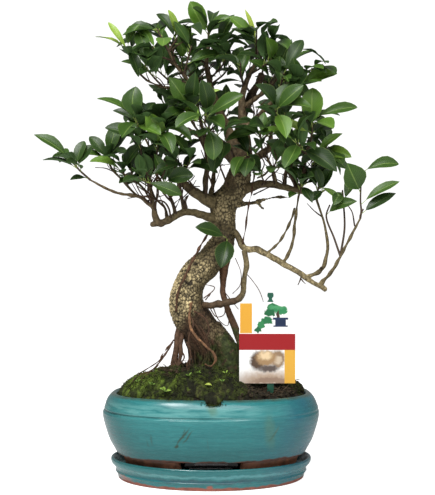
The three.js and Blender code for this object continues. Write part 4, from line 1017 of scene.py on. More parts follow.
CARD_MIDDLE = -42
CARD_AREAS = [
    ("Block", (31.4, 44.2, 161.2, 193.2), (0.66, 0.33, 0.035), 0.02),
    ("Oval", (28.0, 96.0, 96.0, 121.0), (0.46, 0.34, 0.25), 0.5),
    ("Oval", (46.0, 92.0, 105.0, 114.0), (0.30, 0.20, 0.14), 0.35),
    ("Oval", (36.0, 78.0, 101.0, 108.0), (0.60, 0.48, 0.38), 0.35),
    ("Oval", (42.0, 58.0, 122.0, 141.0), (0.085, 0.050, 0.030), 0.3),
    ("Oval", (64.0, 80.0, 124.0, 143.0), (0.26, 0.17, 0.10), 0.3),
    ("Oval", (67.0, 76.0, 128.0, 137.0), (0.55, 0.44, 0.32), 0.4),
    ("Oval", (48.0, 70.0, 126.5, 143.0), (0.34, 0.21, 0.10), 0.25),
    ("Oval", (52.0, 65.0, 132.5, 141.5), (0.72, 0.55, 0.33), 0.5),
    ("Oval", (52.0, 72.0, 119.5, 127.5), (0.10, 0.075, 0.065), 0.35),
    ("Block", (79.0, 90.6, 107.4, 143.4), (0.68, 0.37, 0.045), 0.02),
    ("Block", (30.0, 91.0, 143.2, 160.6), (0.30, 0.007, 0.010), 0.01),
    ("Oval", (60.0, 73.0, 184.0, 193.5), (0.02, 0.15, 0.055), 0.15),
    ("Oval", (68.0, 82.5, 181.0, 190.0), (0.03, 0.21, 0.08), 0.15),
    ("Oval", (57.0, 69.0, 179.0, 187.0), (0.012, 0.11, 0.04), 0.15),
    ("Oval", (62.0, 78.0, 187.0, 191.0), (0.06, 0.27, 0.11), 0.5),
    ("Oval", (54.0, 66.0, 170.5, 179.0), (0.02, 0.15, 0.055), 0.15),
    ("Oval", (50.0, 58.0, 165.5, 174.0), (0.03, 0.20, 0.07), 0.15),
    ("Oval", (47.0, 54.0, 161.8, 168.0), (0.012, 0.11, 0.04), 0.15),
    ("Oval", (70.5, 73.5, 176.0, 186.0), (0.05, 0.03, 0.02), 0.2),
    ("Block", (66.5, 83.0, 175.6, 178.0), (0.014, 0.028, 0.075), 0.03),
    ("Block", (69.0, 80.5, 169.2, 175.8), (0.010, 0.022, 0.060), 0.03),
    ("Block", (67.0, 82.5, 168.0, 169.6), (0.014, 0.028, 0.075), 0.03),
]

POT_MARKS = [
    ((-22, 66), (-36, 49), 0.9, (0.022, 0.055, 0.035), 0.95),
    ((-19, 63), (-28, 52), 0.8, (0.022, 0.055, 0.035), 0.85),
    ((-26, 67), (-28, 61), 0.6, (0.022, 0.055, 0.035), 0.7),
    ((-36, 49), (-34, 47), 1.3, (0.02, 0.04, 0.02), 0.9),
    ((60, 78), (63, 46), 5.0, (0.075, 0.165, 0.10), 0.42),
    ((68, 60), (61, 53), 0.9, (0.03, 0.09, 0.06), 0.6),
    ((71, 66), (66, 58), 1.2, (0.06, 0.10, 0.05), 0.5),
    ((-3, 56), (-2, 43), 0.5, (0.03, 0.10, 0.10), 0.6),
    ((-62, 58), (-60, 48), 1.0, (0.02, 0.085, 0.08), 0.7),
    ((-66, 52), (-63, 45), 0.8, (0.02, 0.085, 0.08), 0.6),
    ((0, 92), (4, 80), 4.5, (0.10, 0.17, 0.09), 0.5),
]

glaze_pot = glaze_material("pot glaze", 30.5, ((0.03, 0.012, 0.008), (0.10, 0.035, 0.018)), POT_MARKS)
glaze_saucer = glaze_material("saucer glaze", 2.6, ((0.17, 0.050, 0.034), (0.33, 0.105, 0.068)), [
    ((-1, 5.5), (-1, 1), 2.6, (0.36, 0.085, 0.045), 0.95),
    ((-101, 7), (-84, 2.5), 2.6, (0.28, 0.09, 0.06), 0.85),
    # Painted shade: a dark band along the hollow of the saucer's wall.
    ((-76, 10.2), (64, 9.2), 1.8, (0.024, 0.070, 0.092), 0.8),
    # Painted highlight: pale bands along the wall's swell above the hollow.
    ((-84, 15), (-14, 14.5), 1.4, (0.14, 0.42, 0.42), 0.6),
    ((-20, 14.5), (84, 15), 1.4, (0.12, 0.40, 0.42), 0.6),
], True)
bark = bark_material("bark", (0.026, 0.020, 0.009), (0.130, 0.100, 0.042),
                     (0.018, 0.012, 0.005), (0.72, 0.58, 0.31), 240.0)
root_bark = bark_material("root bark", (0.019, 0.009, 0.005), (0.120, 0.058, 0.031),
                          (0.03, 0.014, 0.007), (0.33, 0.17, 0.08), 300.0)
twig_bark = bark_material("twig bark", (0.020, 0.014, 0.008), (0.080, 0.050, 0.028),
                          (0.02, 0.012, 0.007), (0.2, 0.14, 0.08), 300.0)
leaf = leaf_material()
soil_earth = ground_material("soil", (0.006, 0.005, 0.003), (0.050, 0.036, 0.019))
moss_green = ground_material("moss", (0.018, 0.022, 0.006), (0.09, 0.10, 0.02))
printed_card = card_material()
stake_green = plastic_material("stake plastic", (0.005, 0.060, 0.035), (0.009, 0.090, 0.052), 0.4)
mesh_plastic = plastic_material("mesh plastic", (0.02, 0.055, 0.03), (0.035, 0.08, 0.045), 0.55)
foot_clay = clay_material()

# --- saucer and pot


def groove_fade(x):
    """How deep the pot's groove is across its width: full at the left, slight at the right."""
    return 1 - 0.8 * rise(x, -6, 46)


def make_saucer():
    """The saucer: its section carried round the plain oval, a little out of true."""
    foot = [(40, 0), (70, 0), (101.6, 0)]
    chamfer = [(101.6, 0), (102.7, 0.8)]
    foot_side = [(102.7, 0.8), (104, 5.5), (106, 8.2)]
    bowl = [(106, 8.2), (105.2, 10.6), (107.4, 14.2), (110, 17.4), (110.9, 20.4), (110.3, 22.6),
            (108.9, 23.2), (107.3, 22.2), (104.4, 17.6), (101.4, 13), (98.5, SAUCER_FLOOR),
            (60, SAUCER_FLOOR), (20, SAUCER_FLOOR)]
    profile = profile_through([foot, chamfer, foot_side, bowl], 0.8)
    rings = turned_oval(profile, 2, 240)
    flat = rings.reshape(-1, 3)
    flat[:, :2] *= 1 + 0.0016 * waves(flat, 90, 21)[:, None]
    skin = closed_skin(flat.reshape(rings.shape), (0, 0, 0), (0, 0, SAUCER_FLOOR))
    settle(make_mesh("saucer_glazed", skin), glaze_saucer, "saucer")


def make_pot():
    """The pot: its section carried round its squarish oval, with throwing ripples, 0.05
    times a sine of the height, and a groove that is a Gaussian dent of 2.4."""
    underside = [(40, POT_UNDERSIDE), (102, POT_UNDERSIDE), (104.4, 29.8)]
    wall = [(104.4, 29.8), (107, 34.6), (112, 44), (117.5, 61), (119.3, 69), (119.5, 73),
            (118.9, 77.5), (117.4, 82), (114.6, 88), (110.6, 92.8), (107.4, RIM_TOP), (105, 93.6),
            (104.2, 91.5), (108.8, 82), (111, 70), (107, 50), (100, 40), (93, POT_FLOOR),
            (50, POT_FLOOR), (20, POT_FLOOR)]
    profile = profile_through([underside, wall], 0.75)
    rings = turned_oval(profile, POT_SQUARENESS, 280)
    flat = rings.reshape(-1, 3)
    x, z = flat[:, 0], flat[:, 2]
    ripple = 0.05 * np.sin(z * TAU / 5.2 + 0.8 * np.sin(x / 37)) + 0.16 * waves(flat, 60, 31)
    outer = np.repeat(profile[:, 0] > 103.9, rings.shape[1])
    dent = 2.4 * np.exp(-((z - GROOVE_HEIGHT) / 0.95) ** 2) * groove_fade(x)
    step = 0.7 * rise(z, GROOVE_HEIGHT - 1, GROOVE_HEIGHT) * (1 - rise(z, 79, 88)) * groove_fade(x)
    shift = np.where(outer, (ripple - dent - step) / POT_HALF_WIDTH, 0)
    flat[:, :2] *= 1 + shift[:, None]
    skin = closed_skin(flat.reshape(rings.shape), (0, 0, POT_UNDERSIDE), (0, 0, POT_FLOOR))
    settle(make_mesh("pot_glazed", skin), glaze_pot, "pot")


def foot_skin(start, end):
    """One foot: a rounded block section, |u|^5 + |v|^5 = 1, carried along an arc of the
    pot's oval and shrunk to nothing over its ends."""
    steps = 40
    arc = np.radians(np.linspace(start, end, steps))[:, None]
    turn = circle(28)
    inward, lift = np.cos(turn), -np.sin(turn)
    block = (abs(inward) ** 5 + abs(lift) ** 5) ** (-0.2)
    inward, lift = inward * block, lift * block
    from_end = np.minimum(np.linspace(0, 1, steps), np.linspace(1, 0, steps)) * steps
    full = np.sqrt(1 - (1 - np.clip(from_end / 3, 0, 1)) ** 2 + 0.02)[:, None]
    top = POT_UNDERSIDE + 1.5
    half_height = (top - FOOT_BOTTOM) / 2
    height = (FOOT_BOTTOM + top) / 2 + half_height * lift * full
    part = (height - FOOT_BOTTOM) / (2 * half_height)
    radius = 91.4 + 4.6 * part + (4.6 + 1.6 * part) * inward * full
    rings = points_at(radius * np.cos(arc), radius * np.sin(arc) * PLAN_RATIO, height)
    return closed_skin(rings, rings[0].mean(axis=0), rings[-1].mean(axis=0))


def make_feet():
    """The four feet, each an arc of 54 degrees, clear of the oval's two axes."""
    skins = [foot_skin(*arc) for arc in ((17, 71), (109, 163), (197, 251), (289, 343))]
    settle(make_mesh("pot_feet", joined(skins)), foot_clay)


# --- soil, crumbs, moss


def make_soil():
    """The soil: sides that follow the pot's inside, and a top of shrinking ovals lifted to
    the mound's height plus grains of two sizes."""
    rows, columns = 84, 300
    floor_height, mouth_height = 36.3, 92.4
    inside = profile_through([
        [(40, floor_height), (92.6, floor_height)],
        [(92.6, floor_height), (99.4, 40.3), (106.4, 50), (110.4, 70), (108.4, 81.7), (103.4, 92)],
    ], 4)
    across = np.linspace(103, 1.5, rows)
    profile = np.vstack([inside, np.stack([across, np.full(rows, RIM_TOP + 1)], axis=1)])
    rings = turned_oval(profile, POT_SQUARENESS, columns)
    top = rings[len(inside):].reshape(-1, 3)
    ground = mound(top[:, 0], top[:, 1])
    edge = rise(np.repeat(across, columns), 103.2, 96)
    level = points_at(top[:, 0], top[:, 1], 0)
    grains, tone = pebbles(level, 4.2)
    fine, _ = pebbles(level + 50, 2.3)
    rough = 1.5 * grains * tone + 0.7 * fine + 0.9 * waves(level, 11, 41)
    lifted = mouth_height + (ground + rough - mouth_height) * edge
    top[:, 2] = np.where(edge > 0, lifted, mouth_height)
    rings[len(inside):] = top.reshape(rows, columns, 3)
    skin = closed_skin(rings, (0, 0, floor_height), (0, 0, mound(0, 0)))
    mesh = make_mesh("soil_mound", skin)
    x, y = skin[0][:, 0], skin[0][:, 1]
    # Painted shade: the cell field is low between the grains, where the soil's material darkens it.
    gap = np.concatenate([np.ones(len(inside) * columns), grains * (0.4 + 0.6 * fine), [1, 1]])
    add_values(mesh, moss=mossiness(x, y), tone=np.full(len(x), 0.1), cell=gap)
    settle(mesh, soil_earth, "soil")


def cushion_skin(x, y, half_width, half_depth, thickness, seed):
    """A cushion of moss: a flattened lumpy ball whose middle follows the ground; it keeps
    inside the pot's mouth."""
    rows, columns = 64, 150
    polar = np.linspace(0.03, math.pi - 0.03, rows)[:, None]
    turn = -circle(columns)[None, :]
    px = (np.sin(polar) * np.cos(turn)).ravel()
    py = (np.sin(polar) * np.sin(turn)).ravel()
    pz = np.broadcast_to(np.cos(polar), (rows, columns)).ravel()
    plan = points_at(x + px * half_width, y + py * half_depth, 0)
    ragged = 1 + 0.07 * waves(plan, 26, seed) + 0.05 * waves(plan, 9, seed + 1)
    gx, gy = x + px * half_width * ragged, y + py * half_depth * ragged
    reach = oval_reach(gx, gy, MOSS_REACH) ** (1 / POT_SQUARENESS)
    pull = np.minimum(1, 1 / np.maximum(reach, 1e-6))
    gx, gy = gx * pull, gy * pull
    puff = moss_lumps(gx, gy)[0] * np.clip(2.5 * pz, 0, 1)
    height = mound(gx, gy) + pz * thickness * 0.8 + puff
    rings = points_at(gx, gy, height).reshape(rows, columns, 3)
    return closed_skin(rings, rings[0].mean(axis=0), rings[-1].mean(axis=0))


def overhang_skins():
    """Lobes of the front cushion that have grown over the rim."""
    lobes = []
    for x, low, thick in ((-4, 93, 2.6), (0, 91.5, 3.2), (4, 90.5, 3.4), (8, 92.5, 2.8)):
        route = [(x, -68, 99, 5), (x + 0.6, -80.5, 97.5, 4.2), (x + 1, -86, 95, thick),
                 (x + 0.5, -88.6, low, thick * 0.55)]
        lobes.append(tube(route, 20, 1.2))
    return lobes


def ground_spots(count, seed, wanted, reach=0.97):
    """Random spots on the ground, kept where a random number is under wanted(x, y)."""
    rng = np.random.default_rng(seed)
    x = rng.uniform(-1, 1, count) * MOUTH_HALF_WIDTH * reach
    y = rng.uniform(-1, 1, count) * MOUTH_HALF_WIDTH * PLAN_RATIO * reach
    inside = oval_reach(x, y, MOUTH_HALF_WIDTH * reach) < 1
    keep = inside & (rng.uniform(0, 1, count) < wanted(x, y))
    return x[keep], y[keep]


def spikes(feet, directions, lengths, widths):
    """Thin three-sided spikes: three corners a third of a turn apart around each foot, and
    a tip at the foot plus the length along its direction."""
    directions = unit(directions)
    side = unit(np.cross(directions, (0.31, 0.83, 0.46)))
    other = np.cross(directions, side)
    turn = TAU / 3 * np.arange(3)[None, :, None]
    spread = np.cos(turn) * side[:, None] + np.sin(turn) * other[:, None]
    corners = feet[:, None] + widths[:, None, None] * spread
    tips = feet + directions * lengths[:, None]
    faces = np.array([[0, 1, 3], [1, 2, 3], [2, 0, 3], [0, 2, 1]])
    return repeated(np.concatenate([corners, tips[:, None]], axis=1), np.zeros((0, 4), int), faces)


CUSHIONS = {
    "moss_left": (-65, -20, 36, 42, 5.5, 51),
    "moss_front": (0, -60, 44, 22, 4.5, 52),
    "moss_right": (82, 6, 20, 42, 4.5, 53),
}


def make_moss():
    """The three cushions; the left one is brighter, some lumps more than others."""
    for name, shape in CUSHIONS.items():
        skins = [cushion_skin(*shape)] + (overhang_skins() if name == "moss_front" else [])
        mesh = make_mesh(name + "_cushion", joined(skins))
        points = points_of(mesh)
        cover = mossiness(points[:, 0], points[:, 1]) * 0.85 + 0.2
        # Painted shade: the cell field, low in the hollows between lumps, makes the material darken them.
        _, gap, own = moss_lumps(points[:, 0], points[:, 1])
        bright = rise(-points[:, 0], 20, 64) * (0.25 + 0.9 * own) * (points[:, 1] < 0)
        add_values(mesh, moss=cover, tone=np.clip(bright, 0, 1), cell=gap)
        settle(mesh, moss_green, name)


def make_tufts():
    """Thousands of short moss tips over the mossy ground, longer ones here and there; more
    that hang over the rim in front, and thin wisps at the outer edge."""
    rng = np.random.default_rng(7)
    x, y = ground_spots(TUFT_SPOTS, 71, lambda x, y: 0.9 * mossiness(x, y) ** 1.3)
    puff, gap, own = moss_lumps(x, y)
    standing = gap > rng.uniform(-0.1, 0.45, len(x))
    x, y, puff, gap, own = (values[standing] for values in (x, y, puff, gap, own))
    count = len(x)
    raised = np.zeros(count)
    for cx, cy, wide, deep, thick, _ in CUSHIONS.values():
        inside = np.sqrt(np.maximum(0, 1 - ((x - cx) / wide) ** 2 - ((y - cy) / deep) ** 2))
        raised = np.maximum(raised, thick * 0.8 * inside + puff * np.minimum(1, 2.5 * inside))
    z = mound(x, y) + raised + rng.uniform(-0.7, 0.3, count)
    lean = points_at(rng.normal(0, 0.55, count), rng.normal(0, 0.55, count), 1)
    length = rng.uniform(1.0, 2.6, count) * (1 + 0.8 * (rng.uniform(0, 1, count) > 0.93))
    tufts = spikes(points_at(x, y, z), lean, length, rng.uniform(0.28, 0.6, count))

    hx = rng.normal(3, 3.8, OVERHANG_TIPS)
    hz = rng.uniform(90, 97, OVERHANG_TIPS)
    hy = np.maximum(hz - 179.5, -91.5)
    droop = points_at(rng.normal(0, 0.4, OVERHANG_TIPS), -0.8, rng.normal(-0.5, 0.3, OVERHANG_TIPS))
    lengths, widths = rng.uniform(1.5, 3.2, OVERHANG_TIPS), rng.uniform(0.35, 0.7, OVERHANG_TIPS)
    over = spikes(points_at(hx, hy, hz), droop, lengths, widths)

    wx, wy = ground_spots(900, 73, lambda x, y: ((x < -52) & (y > -5)) + 0.8 * ((x > 74) & (y > -30)))
    wisp_count = len(wx)
    upward = points_at(rng.normal(0, 0.5, wisp_count), rng.normal(0, 0.5, wisp_count), 1)
    wisp_lengths = rng.uniform(4, 9, wisp_count)
    wisps = spikes(points_at(wx, wy, mound(wx, wy)), upward, wisp_lengths, np.full(wisp_count, 0.3))

    mesh = make_mesh("moss_tufts", joined([tufts, over, wisps]))
    lively = np.maximum(rise(-x, 58, 74), rise(-x, 16, 56) * rise(-y, 36, 48)) * (y < 0)
    patch = waves(points_at(x, y, z), 21, 74)
    shade = 0.5 * rise(abs(x - 12), 60, 10) * rise(-y, 40, 64)
    tone = (own - 0.5) * 1.1 + 0.3 * patch + rng.uniform(-0.35, 0.4, count) + 0.85 * lively - shade
    others = [rng.uniform(0, 0.25, OVERHANG_TIPS), rng.uniform(0, 0.3, wisp_count)]
    tones = np.repeat(np.concatenate([np.clip(tone, 0, 1.5), *others]), 4)
    # Painted shade: each spike's three foot corners get half the cell value and a lower tone than its tip,
    # and the rim tips and wisps a middling cell value, so the material darkens them.
    gaps = np.repeat(np.concatenate([gap, np.full(OVERHANG_TIPS + wisp_count, 0.45)]), 4)
    shade_down_the_spike = np.resize([-0.35, -0.35, -0.35, 0.45], len(tones))
    add_values(mesh, moss=np.ones(len(tones)), tone=np.clip(tones + shade_down_the_spike, 0, 1.6),
               cell=gaps * np.resize([0.5, 0.5, 0.5, 1.15], len(tones)))
    settle(mesh, moss_green)


def make_crumbs():
    """Loose crumbs on the bare soil: small lumpy balls, each radius times 1 plus a wave."""
    rng = np.random.default_rng(8)
    x, y = ground_spots(3600, 81, lambda x, y: 0.9 * (1 - mossiness(x, y)) ** 2)
    count = len(x)
    polar = np.array([0.55, 1.25, 1.95, 2.6])[:, None]
    turn = circle(6)
    ball = points_at(np.sin(polar) * np.cos(turn), np.sin(polar) * np.sin(turn), np.cos(polar))
    points, quads, triangles = closed_skin(ball, (0, 0, 1), (0, 0, -1))
    quads, triangles = quads[:, ::-1], triangles[:, ::-1]
    size = rng.uniform(0.5, 1.7, count) * rng.uniform(0.7, 1.3, count)
    stretch = rng.uniform(0.6, 1.5, (count, 1, 3))
    spin = rng.uniform(0, TAU, count)
    wave = np.sin(5 * points[None, :, :1] + 9 * rng.uniform(0, 1, (count, 1, 1)))
    grown = points[None] * (1 + 0.18 * wave) * stretch * size[:, None, None]
    c, s = np.cos(spin)[:, None], np.sin(spin)[:, None]
    gx, gy, gz = np.moveaxis(grown, -1, 0)
    spun = points_at(gx * c - gy * s, gx * s + gy * c, gz)
    place = points_at(x, y, mound(x, y) + 1.2 + size * 0.3)[:, None]
    mesh = make_mesh("soil_crumbs", repeated(spun + place, quads, triangles))
    mossy = np.repeat(0.3 * (rng.uniform(0, 1, count) > 0.8), len(points))
    add_values(mesh, moss=mossy, tone=np.full(len(mossy), 0.1), cell=np.ones(len(mossy)))
    settle(mesh, soil_earth)


def make_litter():
    """Short dry sticks lying about on the bare ground at the left back and at the right, and
    a few pale chips among them."""
    rng = np.random.default_rng(12)
    middles = np.array([(-50, -22), (-46, -34), (86, -26), (70, -44)])
    spread = np.array([(14, 12), (10, 7), (9, 18), (20, 6)])
    home = np.repeat([0, 1, 2, 3], (190, 90, 90, 90))
    x, y = (middles[home] + rng.normal(0, 1, (len(home), 2)) * spread[home]).T
    inside = oval_reach(x, y, 98) < 1
    x, y = x[inside], y[inside]
    count = len(x)
    feet = points_at(x, y, mound(x, y) + rng.uniform(2.5, 6.0, count))
    lie = points_at(rng.normal(0, 1, count), rng.normal(0, 1, count), rng.normal(0.0, 0.35, count))
    lengths, widths = rng.uniform(3, 11, count), rng.uniform(0.3, 0.75, count)
    mesh = make_mesh("dry_litter", spikes(feet, lie, lengths, widths))
    pale = np.repeat(rng.uniform(0, 1, count) ** 5, 4)
    tone = np.repeat(rng.uniform(0, 1, count), 4)
    add_values(mesh, cell=np.ones(4 * count), pale=pale, tone=tone, red=0 * pale, green=0 * pale)
    settle(mesh, twig_bark)


# --- wood


def mass_top(points):
    """Height of the wavering line where the root mass gives way to the pale bulge."""
    return 168 + 0.85 * (points[:, 0] + 39) + 5 * waves(points, 15, 94)


def trunk_paleness_and_shade(points):
    """Where the trunk's bark shows cream cells: its left bulge, a little on the neck above
    it and on the knob at the right of the root mass; towards its right the bulge's cream gives way
    to darker bark as painted shade."""
    x, z = points[:, 0], points[:, 2]
    patch = 0.5 + 0.5 * waves(points, 24, 91)
    bulge = rise(z - mass_top(points), -9, 9) * (1 - rise(z, 222, 252)) * (0.72 + 0.28 * patch)
    middle = np.interp(z, [164, 177, 192, 208, 223, 236, 247], [-13, -21, -27, -25, -17, -5, 6])
    # Painted shade: the cream fades out towards the bulge's right, the side away from the light.
    bulge = bulge * (1 - 0.78 * rise(x - middle, 3, 15))
    upper = 0.42 * rise(z, 236, 262) * (1 - rise(z, 326, 345)) * rise(patch, 0.2, 0.6)
    knob = 0.38 * np.exp(-((x - 8) / 13) ** 2 - ((z - 160) / 17) ** 2)
    return np.clip(np.maximum(np.maximum(bulge, upper), knob), 0, 1)


def branch_paleness(points):
    """Pale weathered patches on the start of the low right branch, few elsewhere."""
    x, z = points[:, 0], points[:, 2]
    patch = rise(waves(points, 4.5, 96) + 0.6 * waves(points, 19, 99), -1.0, 0.9)
    near = rise(x, 26, 44) * (1 - rise(x, 96, 150)) * (z < 275)
    near = near * (1 - 0.95 * rise(z - 254 + 0.505 * (x - 31), 4, 12))
    return np.clip((0.35 + 0.65 * patch) * (0.14 + 0.62 * near), 0, 1)


def redness(points):
    """Where bark is dark and reddish: the root mass under the pale bulge, and the crown."""
    x, z = points[:, 0], points[:, 2]
    mass = (1 - rise(z - mass_top(points), -12, 6)) * (1 - rise(z, 196, 214))
    outer = 0.75 * np.maximum(rise(z, 306, 346), rise(-x, 36, 58) * (z > 262))
    return np.clip(np.maximum(mass, outer), 0, 1)


def greenness(points):
    """Where moss has crept up the foot of the trunk: all round it, and higher on its right.
    Roots that hang clear of its front stay bare."""
    x, y, z = points[:, 0], points[:, 1], points[:, 2]
    top = 112 + 25 * rise(x, -30, -14) + 25 * rise(x, -4, 14) + 8 * waves(points, 10, 98)
    return 0.92 * (1 - rise(z - top, -12, 8)) * (1 - rise(z, 164, 176)) * rise(y, -32, -30)


def even_paleness(level):
    """Bark of one paleness all over, give or take a slow wave."""
    return lambda points: np.clip(level * (1 + 0.4 * waves(points, 12, 97)), 0, 1)


def hook_redness(points):
    """The hooked root is reddish where it runs into the root mass."""
    return 1 - rise(points[:, 0], 26, 38)


def textured(mesh, cell_size, relief, lump, lump_size, pale, sharp=1.0, red=redness):
    """Pushes the skin out along its normals: slow lumps, then pebbles of cell_size, then a
    fine grain; and records the pebbles and how pale the bark is for its colours."""
    points, normals = points_of(mesh), vectors_of(mesh.vertex_normals, "vector")
    cell, tone = pebbles(points * (1, 1, 0.82) + 500, cell_size)
    cell = 1 - sharp * (1 - cell)
    pale = pale(points)
    strength = relief * (0.35 + 0.65 * np.minimum(1, pale * 1.5))
    push = lump * waves(points, lump_size, 92) + strength * (cell * (0.7 + 0.6 * tone) - 0.6)
    push += 0.12 * relief * waves(points, 2.6, 93)
    move_points(mesh, points + normals * push[:, None])
    add_values(mesh, cell=cell, pale=pale, tone=tone, red=red(points), green=greenness(points))


def make_wood():
    """The trunk and the branches: tubes along their routes, melted into one skin each."""
    trunk = melted("trunk_bark", joined([tube(run, 40, 2.5) for run in TRUNK]), 0.9, 4)
    textured(trunk, 3.1, 1.15, 1.2, 22, trunk_paleness_and_shade)
    settle(trunk, bark, "trunk")
    for name, runs in BRANCHES.items():
        voxel = 0.46 if name == "low_right_branch" else 0.56
        mesh = melted(name + "_bark", joined([tube(run, 16, 1.5) for run in runs]), voxel, 2)
        textured(mesh, 2.4, 0.32, 0.38, 9, branch_paleness, 0.5)
        settle(mesh, bark, name)


ROOT_PALENESS = {"curled_root": 0.95, "aerial_root_centre": 0.25}


def hook_paleness(points):
    """The hooked root is as pale as the branches, but not at its reddish end."""
    return 0.04 + 0.22 * (1 - hook_redness(points))


def make_roots():
    """The hanging roots: tubes along their routes."""
    for name, runs in ROOTS.items():
        mesh = make_mesh(name + "_bark", joined([tube(run, 18, 1.0) for run in runs]))
        hooked = name == "aerial_root_hook"
        pale = hook_paleness if hooked else even_paleness(ROOT_PALENESS.get(name, 0.1))
        textured(mesh, 3.0, 0.35, 0.5, 8, pale, 0.5, hook_redness if hooked else redness)
        settle(mesh, bark if hooked else root_bark, name)


def side_twigs(runs, seed):
    """Fine bare twigs off the thin runs of a branch: each leaves at a share of its run,
    leans between the run's direction, up and out, and bends once."""
    rng = np.random.default_rng(seed)
    routes = []
    for run in runs:
        path = smooth_path(run, 2.0)
        thin = path[path[:, 3] < 3.2]
        for _ in range(int(len(thin) / 3.4)):
            spot = rng.integers(1, len(thin) - 1) if len(thin) > 2 else 0
            ahead = unit(thin[min(spot + 1, len(thin) - 1), :3] - thin[spot - 1, :3])
            lean = unit(ahead * 0.5 + rng.normal(0, 0.55, 3) + (0, 0, 0.55))
            bend = unit(lean + rng.normal(0, 0.35, 3))
            length = rng.uniform(13, 30)
            start = thin[spot, :3]
            middle, end = start + lean * length * 0.5, start + lean * length * 0.5 + bend * length * 0.5
            thick = rng.uniform(0.55, 0.85)
            routes.append([(*start, thick), (*middle, 0.8 * thick), (*end, 0.55 * thick)])
    return routes


# Crooked bare twigs in the open places of the crown, as runs of (x, y, z), each with its
# radius at the foot.
OPEN_TWIGS = [
    (1.3, [(-44, -18, 286), (-46, -22, 296), (-51, -26, 303), (-61, -30, 305), (-70, -32, 308),
           (-79, -32, 309)]),
    (1.5, [(-38, -16, 289), (-41, -24, 301), (-47, -30, 307), (-53, -34, 315), (-58, -38, 326),
           (-55, -42, 336), (-49, -44, 347)]),
    (1.4, [(-61, -20, 294), (-60, -26, 302), (-57, -32, 312), (-57, -38, 321), (-51, -42, 331),
           (-47, -46, 341)]),
    (1.2, [(-65, -20, 299), (-66, -28, 308), (-68, -34, 317), (-64, -38, 326), (-70, -42, 334),
           (-76, -44, 344)]),
    (1.4, [(-29, -14, 296), (-31, -24, 307), (-33, -30, 319), (-35, -36, 330), (-39, -40, 341)]),
    (1.7, [(-27, -14, 297), (-28, -18, 304), (-25, -22, 310)]),
    (1.6, [(-6, -14, 313), (-4, -24, 328), (-3, -32, 343), (-7, -40, 358), (-13, -44, 371)]),
    (1.2, [(-14, -14, 315), (-23, -24, 325), (-30, -30, 334), (-32, -38, 345)]),
    (1.2, [(3, -14, 315), (0, -22, 326), (-4, -30, 336), (-1, -38, 347)]),
    (1.1, [(-65, -24, 303), (-76, -30, 321), (-86, -34, 326), (-95, -38, 334), (-104, -40, 339)]),
    (1.0, [(-68, -22, 302), (-77, -30, 314), (-83, -36, 327), (-87, -40, 338)]),
    (1.0, [(-52, -26, 312), (-45, -32, 319), (-40, -38, 328), (-39, -42, 339)]),
    (1.2, [(18, -12, 321), (14, -22, 332), (10, -32, 342), (12, -40, 352)]),
    (1.0, [(-46, -26, 306), (-40, -30, 311), (-36, -36, 321), (-38, -40, 329)]),
    (1.0, [(-62, -28, 309), (-71, -32, 314), (-80, -36, 320)]),
    (1.2, [(92, -20, 319), (87, -26, 332), (83, -32, 343), (81, -36, 354)]),
    (1.2, [(98, -20, 318), (90, -28, 333), (86, -34, 346), (88, -38, 360)]),
    (1.2, [(100, -22, 321), (102, -28, 336), (101, -34, 349), (104, -38, 362)]),
    (1.2, [(80, -18, 321), (81, -24, 336), (85, -30, 349), (83, -36, 362)]),
    (1.1, [(70, -16, 323), (67, -26, 336), (71, -32, 349), (68, -38, 358)]),
    (1.0, [(56, -14, 322), (62, -24, 329), (73, -30, 338), (77, -34, 349)]),
    (0.9, [(47, -10, 312), (56, -16, 316), (66, -20, 320), (74, -22, 319)]),
    (0.9, [(98, -31, 222), (96, -34, 217), (94, -36, 213)]),
    (0.8, [(97, -33, 220), (100, -36, 216), (102, -37, 214)]),
    (1.5, [(120, -35, 230), (119, -38, 232), (117, -39, 230)]),
    (0.9, [(120, -29, 287), (112, -30, 293), (104, -32, 301)]),
    (0.9, [(154, -43, 276), (151, -45, 291), (145, -48, 299)]),
    (1.1, [(60, -14, 323), (55, -22, 334), (58, -28, 345), (52, -34, 354)]),
    (0.9, [(45, -8, 322), (48, -16, 334), (44, -24, 345)]),
]


def open_twig(radius, places):
    """The route of an open twig: it thins to half its radius at its tip."""
    shrink = np.linspace(1, 0.5, len(places))
    return [(*place, radius * share) for place, share in zip(places, shrink)]


def make_twigs():
    """The crown's bare twigs: those off the branches that stay under its outline, and the
    crooked ones of its open places."""
    crown = [run for name, runs in BRANCHES.items() if name != "low_right_branch" for run in runs]
    routes = [route for route in side_twigs(crown, 15)
              if route[2][2] < crown_top(route[2][0]) - 8 and (route[0][0] > -84 or route[0][2] > 330)]
    routes += [open_twig(*twig) for twig in OPEN_TWIGS]
    mesh = make_mesh("fine_twigs", joined([tube(route, 6, 2.5) for route in routes]))
    textured(mesh, 2.4, 0.1, 0.1, 5, even_paleness(0.0), 0.0)
    settle(mesh, twig_bark)


def clinging_route(turn, top, seed):
    """A root strand that clings to the root mass: it runs down the mass's front at about
    one angle, wanders a little and spreads at the foot."""
    rng = np.random.default_rng(seed)
    down = np.linspace(0, 1, 7)
    height = top + (103 - top) * down
    angle = math.radians(turn) + np.cumsum(rng.normal(0, 0.10, 7))
    centre_x = np.interp(height, [100, 138, 152, 164, 177, 192], [-2, -4, -8, -13, -21, -27])
    centre_y = np.interp(height, [100, 138, 152, 164, 177, 192], [8, 5, 2, -1, -5, -8])
    reach = np.interp(height, [100, 112, 138, 152, 177, 192], [29, 22, 21, 21.6, 19.6, 18.6])
    thick = rng.uniform(0.9, 1.9) * np.array([0.5, 0.9, 1, 1, 0.95, 0.9, 0.8])
    return list(zip(centre_x + reach * np.cos(angle), centre_y + reach * np.sin(angle), height, thick))


